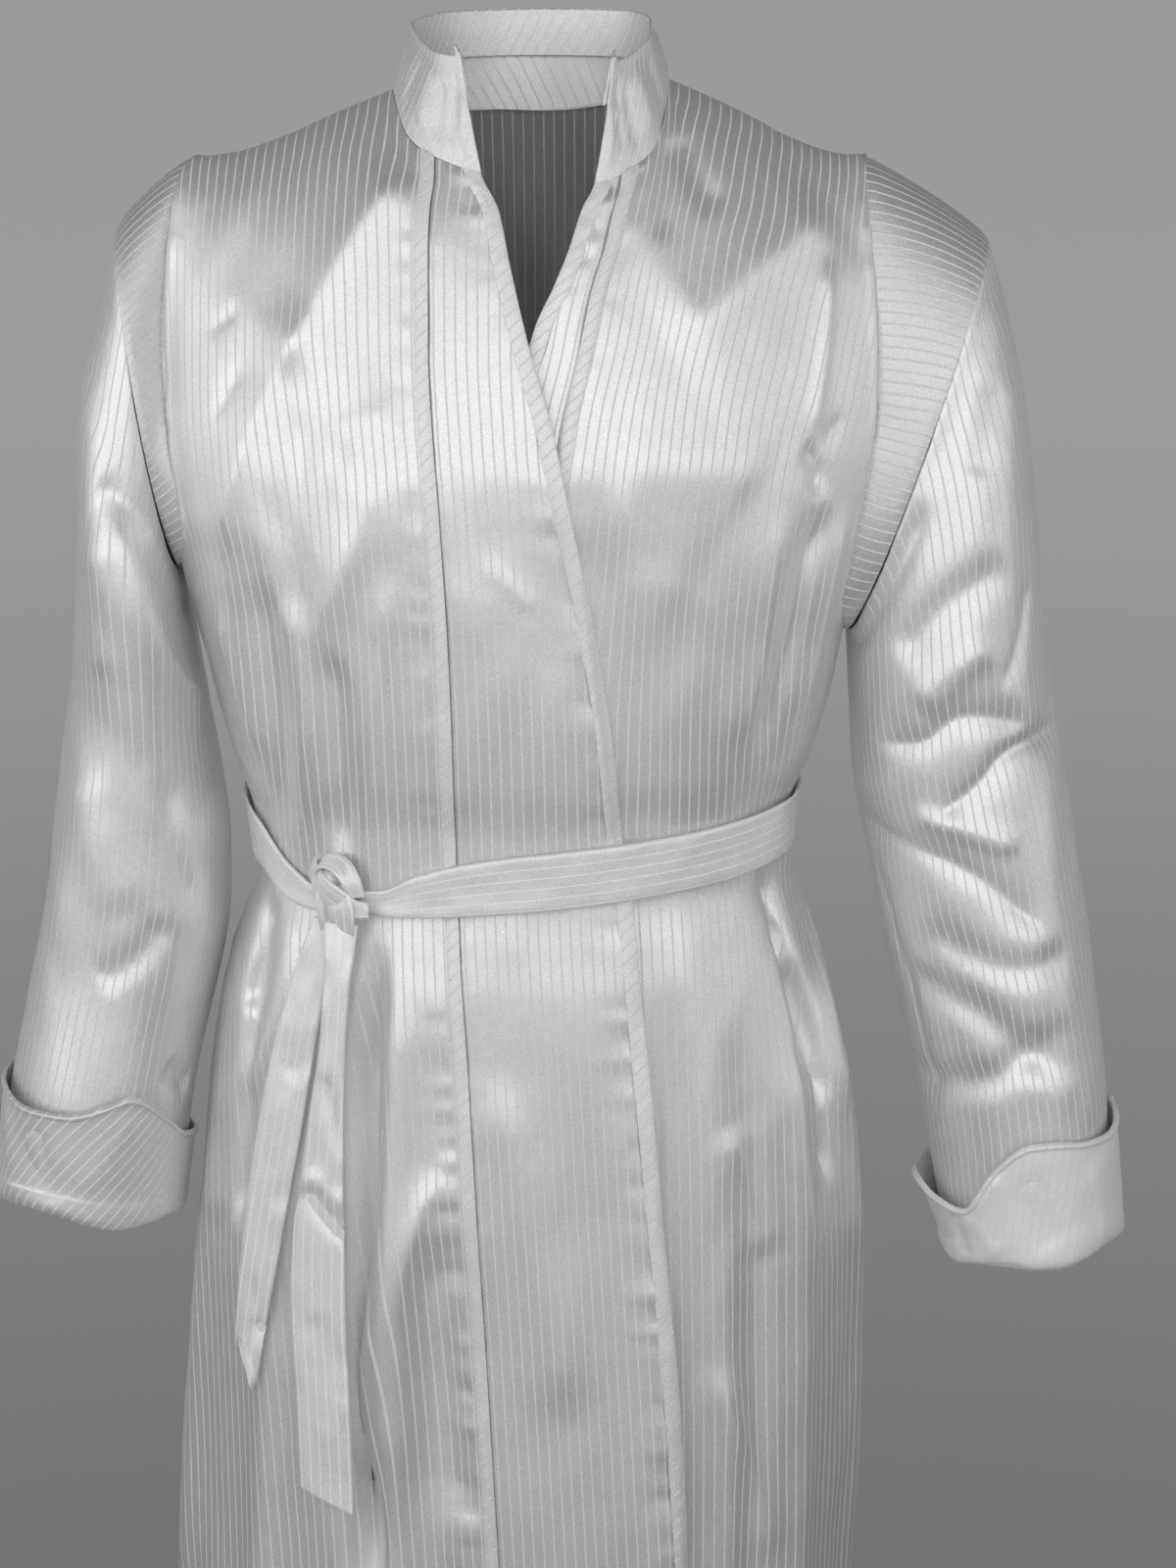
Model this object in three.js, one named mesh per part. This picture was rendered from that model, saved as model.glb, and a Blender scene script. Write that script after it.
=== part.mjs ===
// A kittel: a long white robe of self-striped satin, worn open at the neck,
// the right front lapped over the left and a cloth belt knotted at the waist.
// Millimetres. +Z is up, the front faces -Y, the wearer's right is -X.
// The origin is where the shoulders hold the robe, at the base of the neck.
import * as THREE from 'three';

// cloth
const CLOTH_WALL = 1.5;
const SEAM_GAP = 0.3;
const TRIM_GAP = 0.3;
const TRIM_WALL = 1.2;
const TRIM_WIDTH = 9;
const LAP_DEPTH = 5;
const LAP_EASE = 32;
const HEM_Z = -1240;
const DEGREE_MM = 3.1;

// mesh density
const UPPER_ROWS = 10;
const BAND_COLUMNS = 3;
const NECK_COLUMNS = 3;
const SHOULDER_COLUMNS = 8;
const PANEL_COLUMNS = NECK_COLUMNS + SHOULDER_COLUMNS;
const BACK_COLUMNS = 2 * PANEL_COLUMNS;

// half widths, depths and corner power of the robe at each height
const BODY = [
  { z: 60, right: 226, left: 226, front: 108, back: 92, power: 2.2 },
  { z: -30, right: 228, left: 228, front: 112, back: 94, power: 2.2 },
  { z: -120, right: 229, left: 228, front: 117, back: 99, power: 2.2 },
  { z: -160, right: 227, left: 224, front: 121, back: 105, power: 2.2 },
  { z: -200, right: 221, left: 215, front: 125, back: 110, power: 2.2 },
  { z: -256, right: 208, left: 201, front: 125, back: 109, power: 2.15 },
  { z: -296, right: 200, left: 190, front: 123, back: 107, power: 2.1 },
  { z: -333, right: 191, left: 183, front: 120, back: 104, power: 2.1 },
  { z: -370, right: 181, left: 172, front: 115, back: 101, power: 2.1 },
  { z: -405, right: 169, left: 159, front: 108, back: 97, power: 2.1 },
  { z: -438, right: 166, left: 158, front: 107, back: 98, power: 2.1 },
  { z: -473, right: 179, left: 168, front: 112, back: 105, power: 2.1 },
  { z: -496, right: 187, left: 176, front: 116, back: 110, power: 2.1 },
  { z: -540, right: 197, left: 190, front: 121, back: 118, power: 2.1 },
  { z: -585, right: 203, left: 200, front: 126, back: 122, power: 2.1 },
  { z: -640, right: 208, left: 205, front: 131, back: 126, power: 2.1 },
  { z: -691, right: 215, left: 209, front: 135, back: 129, power: 2.1 },
  { z: -800, right: 225, left: 210, front: 142, back: 135, power: 2.1 },
  { z: -930, right: 234, left: 206, front: 148, back: 141, power: 2.1 },
  { z: -1240, right: 250, left: 216, front: 165, back: 158, power: 2.1 },
];

// the ridge of the shoulders, seen from the front
const SHOULDER = [
  { x: -230, z: -34 },
  { x: -201, z: -20 },
  { x: -170, z: -16 },
  { x: -141, z: -7 },
  { x: -106, z: 8 },
  { x: -76, z: 20 },
  { x: -40, z: 37 },
  { x: 0, z: 43 },
  { x: 40, z: 41 },
  { x: 83, z: 25 },
  { x: 127, z: 6 },
  { x: 150, z: -6 },
  { x: 179, z: -16 },
  { x: 201, z: -19 },
  { x: 230, z: -34 },
];
const NECK_POINT = { right: -76, left: 83 };
const SHOULDER_END = { right: -195, left: 197 };
const ARMPIT = { right: -256, left: -296 };

// where the collar is sewn on
const NECK_FRONT = [
  { x: -76, z: 20 },
  { x: -74, z: 12 },
  { x: -71, z: 2 },
  { x: -67, z: -7 },
  { x: -60, z: -14 },
  { x: -45, z: -22 },
  { x: -24, z: -29 },
  { x: 10, z: -34 },
  { x: 40, z: -35 },
  { x: 61, z: -26 },
  { x: 70, z: -19 },
  { x: 76, z: -8 },
  { x: 80, z: 6 },
  { x: 83, z: 25 },
];
const NECK_BACK = [
  { x: -76, z: 20 },
  { x: -60, z: 14 },
  { x: -30, z: 10 },
  { x: 3, z: 9 },
  { x: 36, z: 12 },
  { x: 66, z: 18 },
  { x: 83, z: 25 },
];

// free front edge of each front and the seam of its centre band
const FRONT_RIGHT = [
  { z: 60, edge: -40, seam: -50 },
  { z: -29, edge: -24, seam: -50 },
  { z: -49, edge: -14, seam: -52 },
  { z: -77, edge: -8, seam: -53 },
  { z: -123, edge: 3, seam: -53 },
  { z: -167, edge: 16, seam: -51 },
  { z: -210, edge: 25, seam: -48 },
  { z: -280, edge: 40, seam: -44 },
  { z: -341, edge: 50, seam: -42 },
  { z: -395, edge: 55, seam: -41 },
  { z: -461, edge: 63, seam: -39 },
  { z: -541, edge: 71, seam: -34 },
  { z: -633, edge: 79, seam: -29 },
  { z: -760, edge: 90, seam: -22 },
  { z: -857, edge: 96, seam: -17 },
  { z: -1240, edge: 116, seam: 2 },
];
const FRONT_LEFT = [
  { z: 60, edge: 56, seam: 62 },
  { z: -35, edge: 40, seam: 54 },
  { z: -49, edge: 33, seam: 50 },
  { z: -70, edge: 26, seam: 45 },
  { z: -92, edge: 17, seam: 38 },
  { z: -110, edge: 8, seam: 34 },
  { z: -125, edge: 3, seam: 31 },
  { z: -167, edge: -10, seam: 21 },
  { z: -210, edge: -20, seam: 15 },
  { z: -280, edge: -36, seam: 10 },
  { z: -341, edge: -46, seam: 8 },
  { z: -400, edge: -54, seam: 8 },
  { z: -500, edge: -66, seam: 12 },
  { z: -633, edge: -79, seam: 16 },
  { z: -857, edge: -96, seam: 22 },
  { z: -1240, edge: -115, seam: 26 },
];

// wrap angle of the armhole edge, from the shoulder down to the armpit
const ARMHOLE = [
  { step: 0, right: 57.0, left: 57.6, back: 57.3 },
  { step: 0.3, right: 62.9, left: 59.5, back: 61.5 },
  { step: 0.42, right: 64.8, left: 61.0, back: 64.5 },
  { step: 0.56, right: 64.9, left: 64.6, back: 67.0 },
  { step: 0.7, right: 65.8, left: 68.0, back: 69.5 },
  { step: 0.85, right: 71.5, left: 73.0, back: 74.5 },
  { step: 1, right: 90, left: 90, back: 90 },
];

// heights of the rows below the armpits
const LOWER_ROWS = [
  { right: -292, left: -320 },
  { right: -328, left: -346 },
  { right: -362, left: -370 },
  { right: -396, left: -396 },
  { right: -421, left: -421 },
  { right: -446, left: -446 },
  { right: -474, left: -474 },
  { right: -520, left: -520 },
  { right: -580, left: -580 },
  { right: -660, left: -660 },
  { right: -755, left: -755 },
  { right: -865, left: -865 },
  { right: -985, left: -985 },
  { right: -1110, left: -1110 },
  { right: HEM_Z, left: HEM_Z },
];

// folds of the robe: wrap angle 0 at the front, +90 at the wearer's left side
const BODY_FOLDS = [
  { a1: -18, z1: -40, a2: -56, z2: -270, bow: 10, half: 14, depth: 3.5 },
  { a1: -28, z1: -66, a2: -63, z2: -240, bow: 10, half: 16, depth: -5 },
  { a1: -30, z1: -184, a2: -14, z2: -184, bow: -14, half: 7, depth: 2.2 },
  { a1: -28, z1: -200, a2: -43, z2: -372, bow: 0, half: 13, depth: -3 },
  { a1: -22, z1: -275, a2: -36, z2: -436, bow: 4, half: 8, depth: 3 },
  { a1: -36, z1: -240, a2: -54, z2: -400, bow: 0, half: 10, depth: -4 },
  { a1: -52, z1: -280, a2: -66, z2: -400, bow: 0, half: 9, depth: 3.5 },
  { a1: 44, z1: -175, a2: 50, z2: -215, bow: 0, half: 10, depth: -3.5 },
  { a1: 50, z1: -225, a2: 57, z2: -378, bow: 0, half: 10, depth: -6 },
  { a1: 10, z1: -215, a2: 38, z2: -312, bow: 0, half: 18, depth: -3 },
  { a1: 72, z1: -330, a2: 67, z2: -392, bow: 0, half: 11, depth: 3 },
  { a1: -29, z1: -480, a2: -25, z2: -820, bow: 0, half: 9, depth: -7 },
  { a1: -23, z1: -480, a2: -21, z2: -1300, bow: 0, half: 8, depth: 4 },
  { a1: -10, z1: -585, a2: -24, z2: -765, bow: 8, half: 7, depth: 3 },
  { a1: 64, z1: -455, a2: 63, z2: -640, bow: -8, half: 10, depth: -8 },
  { a1: 77, z1: -470, a2: 80, z2: -1300, bow: 0, half: 14, depth: 5 },
  { a1: -60, z1: -462, a2: -57, z2: -660, bow: 0, half: 9, depth: -6 },
  { a1: -72, z1: -500, a2: -70, z2: -1300, bow: 0, half: 15, depth: 5 },
  { a1: -45, z1: -480, a2: -42, z2: -1300, bow: 6, half: 13, depth: 5 },
  { a1: 20, z1: -490, a2: 25, z2: -1300, bow: 0, half: 16, depth: 4 },
  { a1: 40, z1: -480, a2: 41, z2: -1300, bow: 0, half: 12, depth: -5 },
  { a1: 52, z1: -500, a2: 54, z2: -1300, bow: 0, half: 12, depth: 4 },
  { a1: 110, z1: -120, a2: 150, z2: -330, bow: 12, half: 16, depth: -4 },
  { a1: -112, z1: -110, a2: -150, z2: -330, bow: -12, half: 16, depth: -4 },
  { a1: 165, z1: -200, a2: 158, z2: -390, bow: 0, half: 14, depth: 4 },
  { a1: -160, z1: -210, a2: -168, z2: -390, bow: 0, half: 12, depth: 4 },
  { a1: 128, z1: -270, a2: 122, z2: -392, bow: 0, half: 11, depth: -5 },
  { a1: -128, z1: -260, a2: -120, z2: -392, bow: 0, half: 11, depth: -5 },
  { a1: 104, z1: -480, a2: 106, z2: -1300, bow: 0, half: 12, depth: -7 },
  { a1: 120, z1: -480, a2: 123, z2: -1300, bow: 0, half: 14, depth: 6 },
  { a1: 138, z1: -480, a2: 140, z2: -1300, bow: 0, half: 12, depth: -7 },
  { a1: 156, z1: -480, a2: 157, z2: -1300, bow: 0, half: 14, depth: 6 },
  { a1: 174, z1: -480, a2: 173, z2: -1300, bow: 0, half: 12, depth: -6 },
  { a1: -98, z1: -480, a2: -100, z2: -1300, bow: 0, half: 12, depth: -6 },
  { a1: -115, z1: -480, a2: -118, z2: -1300, bow: 0, half: 14, depth: 6 },
  { a1: -134, z1: -480, a2: -136, z2: -1300, bow: 0, half: 12, depth: -7 },
  { a1: -152, z1: -480, a2: -154, z2: -1300, bow: 0, half: 14, depth: 6 },
  { a1: -170, z1: -480, a2: -170, z2: -1300, bow: 0, half: 12, depth: -5 },
];

// sleeve rings: outer point, inner point, half depth, middle Y and front lift
const SLEEVE_RIGHT = [
  { ox: -238, oz: -56, ix: -209, iz: -260, deep: 58, mid: 0, lift: 0 },
  { ox: -251, oz: -104, ix: -207, iz: -276, deep: 64, mid: 0, lift: 0 },
  { ox: -264, oz: -150, ix: -205, iz: -294, deep: 70, mid: 0, lift: 0 },
  { ox: -268, oz: -202, ix: -202, iz: -320, deep: 74, mid: 0, lift: 0 },
  { ox: -271, oz: -256, ix: -198, iz: -350, deep: 75, mid: 2, lift: 0 },
  { ox: -276, oz: -312, ix: -192, iz: -386, deep: 74, mid: 2, lift: 0 },
  { ox: -284, oz: -364, ix: -187, iz: -425, deep: 73, mid: -3, lift: 2 },
  { ox: -292, oz: -416, ix: -187, iz: -466, deep: 71, mid: -9, lift: 4 },
  { ox: -300, oz: -470, ix: -194, iz: -510, deep: 69, mid: -15, lift: 6 },
  { ox: -310, oz: -526, ix: -204, iz: -556, deep: 67, mid: -20, lift: 9 },
  { ox: -321, oz: -582, ix: -213, iz: -604, deep: 65, mid: -25, lift: 12 },
  { ox: -329, oz: -640, ix: -221, iz: -656, deep: 63, mid: -29, lift: 14 },
];
const SLEEVE_LEFT = [
  { ox: 270, oz: -64, ix: 193, iz: -297, deep: 62, mid: 0, lift: 0 },
  { ox: 284, oz: -110, ix: 194, iz: -316, deep: 68, mid: 0, lift: 0 },
  { ox: 296, oz: -168, ix: 195, iz: -342, deep: 74, mid: 0, lift: 0 },
  { ox: 304, oz: -226, ix: 197, iz: -376, deep: 76, mid: 0, lift: 0 },
  { ox: 311, oz: -284, ix: 203, iz: -414, deep: 76, mid: 0, lift: 0 },
  { ox: 319, oz: -340, ix: 213, iz: -454, deep: 75, mid: -2, lift: 0 },
  { ox: 329, oz: -398, ix: 223, iz: -496, deep: 73, mid: -7, lift: 3 },
  { ox: 339, oz: -456, ix: 234, iz: -540, deep: 71, mid: -13, lift: 6 },
  { ox: 349, oz: -516, ix: 244, iz: -586, deep: 69, mid: -18, lift: 9 },
  { ox: 356, oz: -574, ix: 253, iz: -630, deep: 67, mid: -23, lift: 12 },
  { ox: 361, oz: -660, ix: 262, iz: -682, deep: 64, mid: -30, lift: 15 },
];
const SLEEVE_POWER = 2.1;
const ARMHOLE_GAP = 0.7;
const ARMPIT_CALM = 74;

// folds of the sleeves: angle 0 on the outer line, 90 at the front; t runs down
const SLEEVE_RIGHT_FOLDS = [
  { a1: 40, t1: 0.2, a2: 120, t2: 0.5, half: 0.055, depth: 6 },
  { a1: 30, t1: 0.3, a2: 112, t2: 0.6, half: 0.05, depth: -5 },
  { a1: 60, t1: 0.58, a2: 130, t2: 0.78, half: 0.045, depth: 4 },
  { a1: 20, t1: 0.66, a2: 90, t2: 0.86, half: 0.045, depth: -4 },
  { a1: 220, t1: 0.25, a2: 300, t2: 0.5, half: 0.05, depth: -5 },
  { a1: 210, t1: 0.55, a2: 300, t2: 0.75, half: 0.05, depth: 4 },
];
const SLEEVE_LEFT_FOLDS = [
  { a1: 110, t1: 0.14, a2: 60, t2: 0.42, half: 0.055, depth: -5 },
  { a1: 130, t1: 0.3, a2: 70, t2: 0.56, half: 0.05, depth: 4 },
  { a1: 120, t1: 0.5, a2: 60, t2: 0.68, half: 0.045, depth: -4 },
  { a1: 110, t1: 0.66, a2: 40, t2: 0.84, half: 0.045, depth: 4 },
  { a1: 220, t1: 0.2, a2: 290, t2: 0.45, half: 0.05, depth: -5 },
  { a1: 230, t1: 0.5, a2: 300, t2: 0.72, half: 0.05, depth: 4 },
];

// turned back cuffs by angle: heights of the top and bottom edges above the
// wrist end, flare of the top edge and distance of the lower part off the sleeve
const CUFF_RIGHT = [
  { angle: 0, top: 82, flare: 3, hug: 3, low: 1 },
  { angle: 30, top: 76, flare: 6, hug: 3, low: 5 },
  { angle: 60, top: 69, flare: 8, hug: 3, low: 6 },
  { angle: 84, top: 71, flare: 8, hug: 3, low: 4 },
  { angle: 100, top: 80, flare: 8, hug: 3, low: 0 },
  { angle: 116, top: 90, flare: 7, hug: 3, low: -2 },
  { angle: 140, top: 77, flare: 5, hug: 3, low: 2 },
  { angle: 165, top: 63, flare: 2.5, hug: 2.6, low: 6 },
  { angle: 205, top: 60, flare: 2.5, hug: 2.6, low: 6 },
  { angle: 270, top: 66, flare: 8, hug: 3, low: 4 },
  { angle: 360, top: 82, flare: 3, hug: 3, low: 1 },
];
const CUFF_LEFT = [
  { angle: 0, top: 64, flare: 5, hug: 7, low: -5 },
  { angle: 36, top: 57, flare: 8, hug: 4, low: -1 },
  { angle: 60, top: 61, flare: 9, hug: 3, low: -4.5 },
  { angle: 84, top: 72, flare: 9, hug: 3, low: -8 },
  { angle: 98, top: 78, flare: 8, hug: 3, low: -7 },
  { angle: 115, top: 70, flare: 6, hug: 3, low: -3 },
  { angle: 137, top: 46, flare: 7, hug: 3, low: -1.5 },
  { angle: 158, top: 60, flare: 10, hug: 3, low: -2 },
  { angle: 180, top: 77, flare: 12, hug: 2.6, low: 6 },
  { angle: 215, top: 74, flare: 10, hug: 2.6, low: 5 },
  { angle: 270, top: 66, flare: 8, hug: 3, low: 0 },
  { angle: 360, top: 64, flare: 5, hug: 7, low: -5 },
];

// top edge of the standing collar, from the wearer's right end to the left end
const COLLAR_TOP = [
  { turn: 0, x: -35, y: -58, z: 34 },
  { turn: 0.07, x: -48, y: -48, z: 37 },
  { turn: 0.16, x: -60, y: -26, z: 46 },
  { turn: 0.26, x: -64, y: 2, z: 56 },
  { turn: 0.38, x: -48, y: 34, z: 64 },
  { turn: 0.5, x: 4, y: 50, z: 67 },
  { turn: 0.62, x: 56, y: 34, z: 65 },
  { turn: 0.74, x: 73, y: 2, z: 57 },
  { turn: 0.84, x: 70, y: -26, z: 48 },
  { turn: 0.93, x: 60, y: -46, z: 36 },
  { turn: 1, x: 51, y: -58, z: 31 },
];

// middle height and width of the belt round the waist, by wrap angle
const BELT = [
  { a: -180, z: -402, wide: 35 },
  { a: -135, z: -405, wide: 35 },
  { a: -90, z: -412, wide: 35 },
  { a: -70, z: -421, wide: 32 },
  { a: -56, z: -438, wide: 22 },
  { a: -45, z: -445, wide: 14 },
  { a: -36, z: -443, wide: 12 },
  { a: -29, z: -443, wide: 15 },
  { a: -20, z: -437, wide: 26 },
  { a: -8, z: -431, wide: 33 },
  { a: 4, z: -427, wide: 35 },
  { a: 40, z: -418, wide: 35 },
  { a: 90, z: -408, wide: 35 },
  { a: 135, z: -403, wide: 35 },
  { a: 180, z: -402, wide: 35 },
];
const BELT_WALL = 2.6;
const BELT_CLEAR = 2.8;
const BELT_SECTIONS = 40;
const KNOT = { a: -36.3, lift: 10, wide: 33, tall: 42, deep: 17, cut: 0.9 };

// hanging belt ends: middle X, width, height and distance off the robe
const END_FRONT = [
  { z: -454, x: -106, wide: 18, off: 14 },
  { z: -500, x: -106, wide: 21, off: 12 },
  { z: -567, x: -113, wide: 23, off: 11 },
  { z: -617, x: -115, wide: 27, off: 10 },
  { z: -689, x: -118, wide: 34, off: 9 },
  { z: -749, x: -117, wide: 31, off: 9 },
  { z: -805, x: -117, wide: 33, off: 9 },
];
const END_BACK = [
  { z: -454, x: -117, wide: 15, off: 9.4 },
  { z: -485, x: -125, wide: 19, off: 6 },
  { z: -531, x: -132, wide: 23, off: 5 },
  { z: -593, x: -142, wide: 27, off: 5 },
  { z: -654, x: -149, wide: 27, off: 5 },
  { z: -716, x: -157, wide: 20, off: 5 },
  { z: -765, x: -161, wide: 8, off: 5 },
];

// smooth reading of a table column, with no overshoot between rows
function read(table, key, column, value) {
  const last = table.length - 1;
  const way = table[last][key] > table[0][key] ? 1 : -1;
  const v = value * way;
  if (v <= table[0][key] * way) return table[0][column];
  if (v >= table[last][key] * way) return table[last][column];
  let i = 0;
  while (v > table[i + 1][key] * way) i += 1;
  const slope = (k) => (table[k + 1][column] - table[k][column]) / (table[k + 1][key] - table[k][key]);
  const tangent = (k) => {
    if (k === 0) return slope(0);
    if (k === last) return slope(last - 1);
    const before = slope(k - 1);
    const after = slope(k);
    return before * after <= 0 ? 0 : (2 * before * after) / (before + after);
  };
  const span = table[i + 1][key] - table[i][key];
  const t = (value - table[i][key]) / span;
  const t2 = t * t;
  const t3 = t2 * t;
  return table[i][column] * (2 * t3 - 3 * t2 + 1) + tangent(i) * span * (t3 - 2 * t2 + t)
    + table[i + 1][column] * (3 * t2 - 2 * t3) + tangent(i + 1) * span * (t3 - t2);
}

const clamp01 = (t) => Math.min(1, Math.max(0, t));
const ease = (t) => clamp01(t) ** 2 * (3 - 2 * clamp01(t));
const mix = (a, b, t) => a + (b - a) * t;
const rad = (d) => (d * Math.PI) / 180;
const deg = (r) => (r * 180) / Math.PI;
const rowShare = (step, share) => mix(1 - Math.cos((Math.PI * step) / 2), (1 - Math.cos(Math.PI * step)) / 2, share ** 2);

// wrap angle of a panel column: only the outer columns follow the armpit curve
function columnAngle(inner, edge, share, step) {
  const calm = step < 1 ? mix(58, ARMPIT_CALM, step) : Math.min(90, ARMPIT_CALM + (step - 1) * 4);
  const steady = Math.min(edge, calm);
  return inner + (steady - inner) * share + (edge - steady) * share ** 6;
}
const add = (p, q, k = 1) => [p[0] + q[0] * k, p[1] + q[1] * k, p[2] + q[2] * k];
const sub = (p, q) => [p[0] - q[0], p[1] - q[1], p[2] - q[2]];
const dot = (p, q) => p[0] * q[0] + p[1] * q[1] + p[2] * q[2];
const cross = (p, q) => [p[1] * q[2] - p[2] * q[1], p[2] * q[0] - p[0] * q[2], p[0] * q[1] - p[1] * q[0]];
const unit = (p) => {
  const size = Math.hypot(p[0], p[1], p[2]) || 1;
  return [p[0] / size, p[1] / size, p[2] / size];
};
const mixPoint = (p, q, t) => [mix(p[0], q[0], t), mix(p[1], q[1], t), mix(p[2], q[2], t)];

// size of the robe at one height on one side
function girth(side, z) {
  return {
    half: read(BODY, 'z', side, z),
    front: read(BODY, 'z', 'front', z),
    back: read(BODY, 'z', 'back', z),
    power: read(BODY, 'z', 'power', z),
  };
}

const sideOf = (x) => (x < 0 ? 'right' : 'left');

// wrap angle in degrees of a point x on the front at height z
function angleOf(x, z) {
  const g = girth(sideOf(x), z);
  const share = Math.min(1, Math.abs(x) / g.half);
  return Math.sign(x) * deg(Math.asin(share ** (g.power / 2)));
}

// sum of the folds at a wrap angle and height
function foldDepth(a, z) {
  let total = 0;
  for (const f of BODY_FOLDS) {
    let turn = a;
    if (turn - f.a1 > 180) turn -= 360;
    if (turn - f.a1 < -180) turn += 360;
    const ux = (f.a2 - f.a1) * DEGREE_MM;
    const uz = f.z2 - f.z1;
    const size = Math.hypot(ux, uz);
    const px = (turn - f.a1) * DEGREE_MM;
    const pz = z - f.z1;
    const t = (px * ux + pz * uz) / (size * size);
    if (t < 0 || t > 1) continue;
    const off = (px * uz - pz * ux) / size - f.bow * 4 * t * (1 - t);
    total += f.depth * Math.exp(-((off / f.half) ** 2)) * ease(t / 0.2) * ease((1 - t) / 0.15);
  }
  return total;
}

// folds of the under front, kept within the hollows of the front over it
function lappedFold(a, z, lap) {
  const own = foldDepth(a, z);
  let least = own;
  for (const turn of [-7, -3.5, 3.5, 7]) least = Math.min(least, foldDepth(a + turn, z));
  return mix(own, least, -lap / LAP_DEPTH);
}

// point of the robe at a wrap angle and height; 180 is the centre of the back
function robePoint(a, z, lap) {
  const side = a < 0 ? 'right' : 'left';
  const sign = a < 0 ? -1 : 1;
  const g = girth(side, z);
  const behind = Math.abs(a) > 90;
  const turn = rad(behind ? 180 - Math.min(180, Math.abs(a)) : Math.abs(a));
  const x = sign * g.half * Math.sin(turn) ** (2 / g.power);
  const flat = Math.max(0, Math.cos(turn)) ** (2 / g.power);
  const below = Math.max(0, read(SHOULDER, 'x', 'z', x) - z);
  const over = behind
    ? Math.sqrt(Math.max(0, 1 - (1 - Math.min(1, below / 180)) ** 1.8))
    : Math.sqrt(Math.max(0, 1 - (1 - Math.min(1, below / 260)) ** 1.6));
  const y = (behind ? g.back : -g.front) * flat * over;
  const push = (lap < 0 ? lappedFold(a, z, lap) : foldDepth(a, z)) * Math.min(1, below / 60) + lap;
  return [x + sign * Math.sin(turn) * push, y + (behind ? 1 : -1) * Math.cos(turn) * push, z];
}

// how far the under front sits in below the lapped front
function lapOf(x, z) {
  const rightEdge = read(FRONT_RIGHT, 'z', 'edge', z);
  return -LAP_DEPTH * ease((rightEdge + LAP_EASE - x) / LAP_EASE);
}

// X of the named lines that run down a front
function lineX(side, line, z) {
  const table = side === 'right' ? FRONT_RIGHT : FRONT_LEFT;
  const out = side === 'right' ? -1 : 1;
  const edge = read(table, 'z', 'edge', z);
  const seam = read(table, 'z', 'seam', z);
  const binding = edge + out * Math.min(TRIM_WIDTH, 0.6 * Math.abs(seam - edge));
  if (line === 'edge') return edge;
  if (line === 'binding') return binding;
  if (line === 'strip') return seam + out * TRIM_WIDTH;
  if (line === 'seam') return seam;
  return mix(binding, seam, line);
}

// whole grid of one front: rows from the shoulder to the hem, columns outward
function frontGrid(side) {
  const out = side === 'right' ? -1 : 1;
  const lines = ['edge', 'binding'];
  for (let k = 1; k < BAND_COLUMNS; k += 1) lines.push(k / BAND_COLUMNS);
  lines.push('seam', 'strip');
  const tops = lines.map((line) => {
    let z = -30;
    for (let k = 0; k < 12; k += 1) z = read(NECK_FRONT, 'x', 'z', lineX(side, line, z));
    return z;
  });
  const neckX = NECK_POINT[side];
  const endX = SHOULDER_END[side];
  const panel = [];
  const stripColumn = lines.length - 1;
  const stripX = lineX(side, 'strip', tops[stripColumn]);
  for (let k = 1; k <= PANEL_COLUMNS; k += 1) {
    const onNeck = k < NECK_COLUMNS;
    const x = onNeck
      ? mix(stripX, neckX, 1 - (1 - k / NECK_COLUMNS) ** 1.6)
      : mix(neckX, endX, (k - NECK_COLUMNS) / SHOULDER_COLUMNS);
    panel.push({ x, z: read(onNeck ? NECK_FRONT : SHOULDER, 'x', 'z', x), share: k / PANEL_COLUMNS, onNeck });
  }
  const steps = [];
  for (let i = 0; i <= UPPER_ROWS; i += 1) steps.push(i / UPPER_ROWS);
  const rows = [];
  const pointAt = (x, z, a) => robePoint(a, z, side === 'left' ? lapOf(x, z) : 0);
  const rowAt = (zOf, step) => {
    const row = [];
    lines.forEach((line, k) => {
      const z = zOf(tops[k], 0);
      const x = lineX(side, line, z);
      row.push(pointAt(x, z, angleOf(x, z)));
    });
    panel.forEach((column) => {
      const z = zOf(column.z, column.share);
      const inner = angleOf(lineX(side, 'strip', z), z);
      const outer = out * (step < 1 ? read(ARMHOLE, 'step', side, step) : 90);
      const top = angleOf(column.x, column.z);
      const topInner = angleOf(lineX(side, 'strip', column.z), column.z);
      const topOuter = out * read(ARMHOLE, 'step', side, 0);
      const topShare = (top - topInner) / (topOuter - topInner);
      const share = column.share === 1 ? 1 : mix(topShare, column.share, ease(step / 0.9));
      const a = step === 0 ? top : out * columnAngle(Math.abs(inner), Math.abs(outer), share, step);
      const x = out * girth(side, z).half * Math.sin(rad(Math.abs(a))) ** (2 / girth(side, z).power);
      row.push(step === 0 && !column.onNeck ? [column.x, 0, column.z] : pointAt(x, z, a));
    });
    return row;
  };
  for (const step of steps) {
    rows.push(rowAt((top, share) => mix(top, ARMPIT[side], rowShare(step, share)), step));
  }
  LOWER_ROWS.forEach((level, i) => rows.push(rowAt(() => level[side], 2 + i)));
  return { rows, stripColumn };
}

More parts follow.
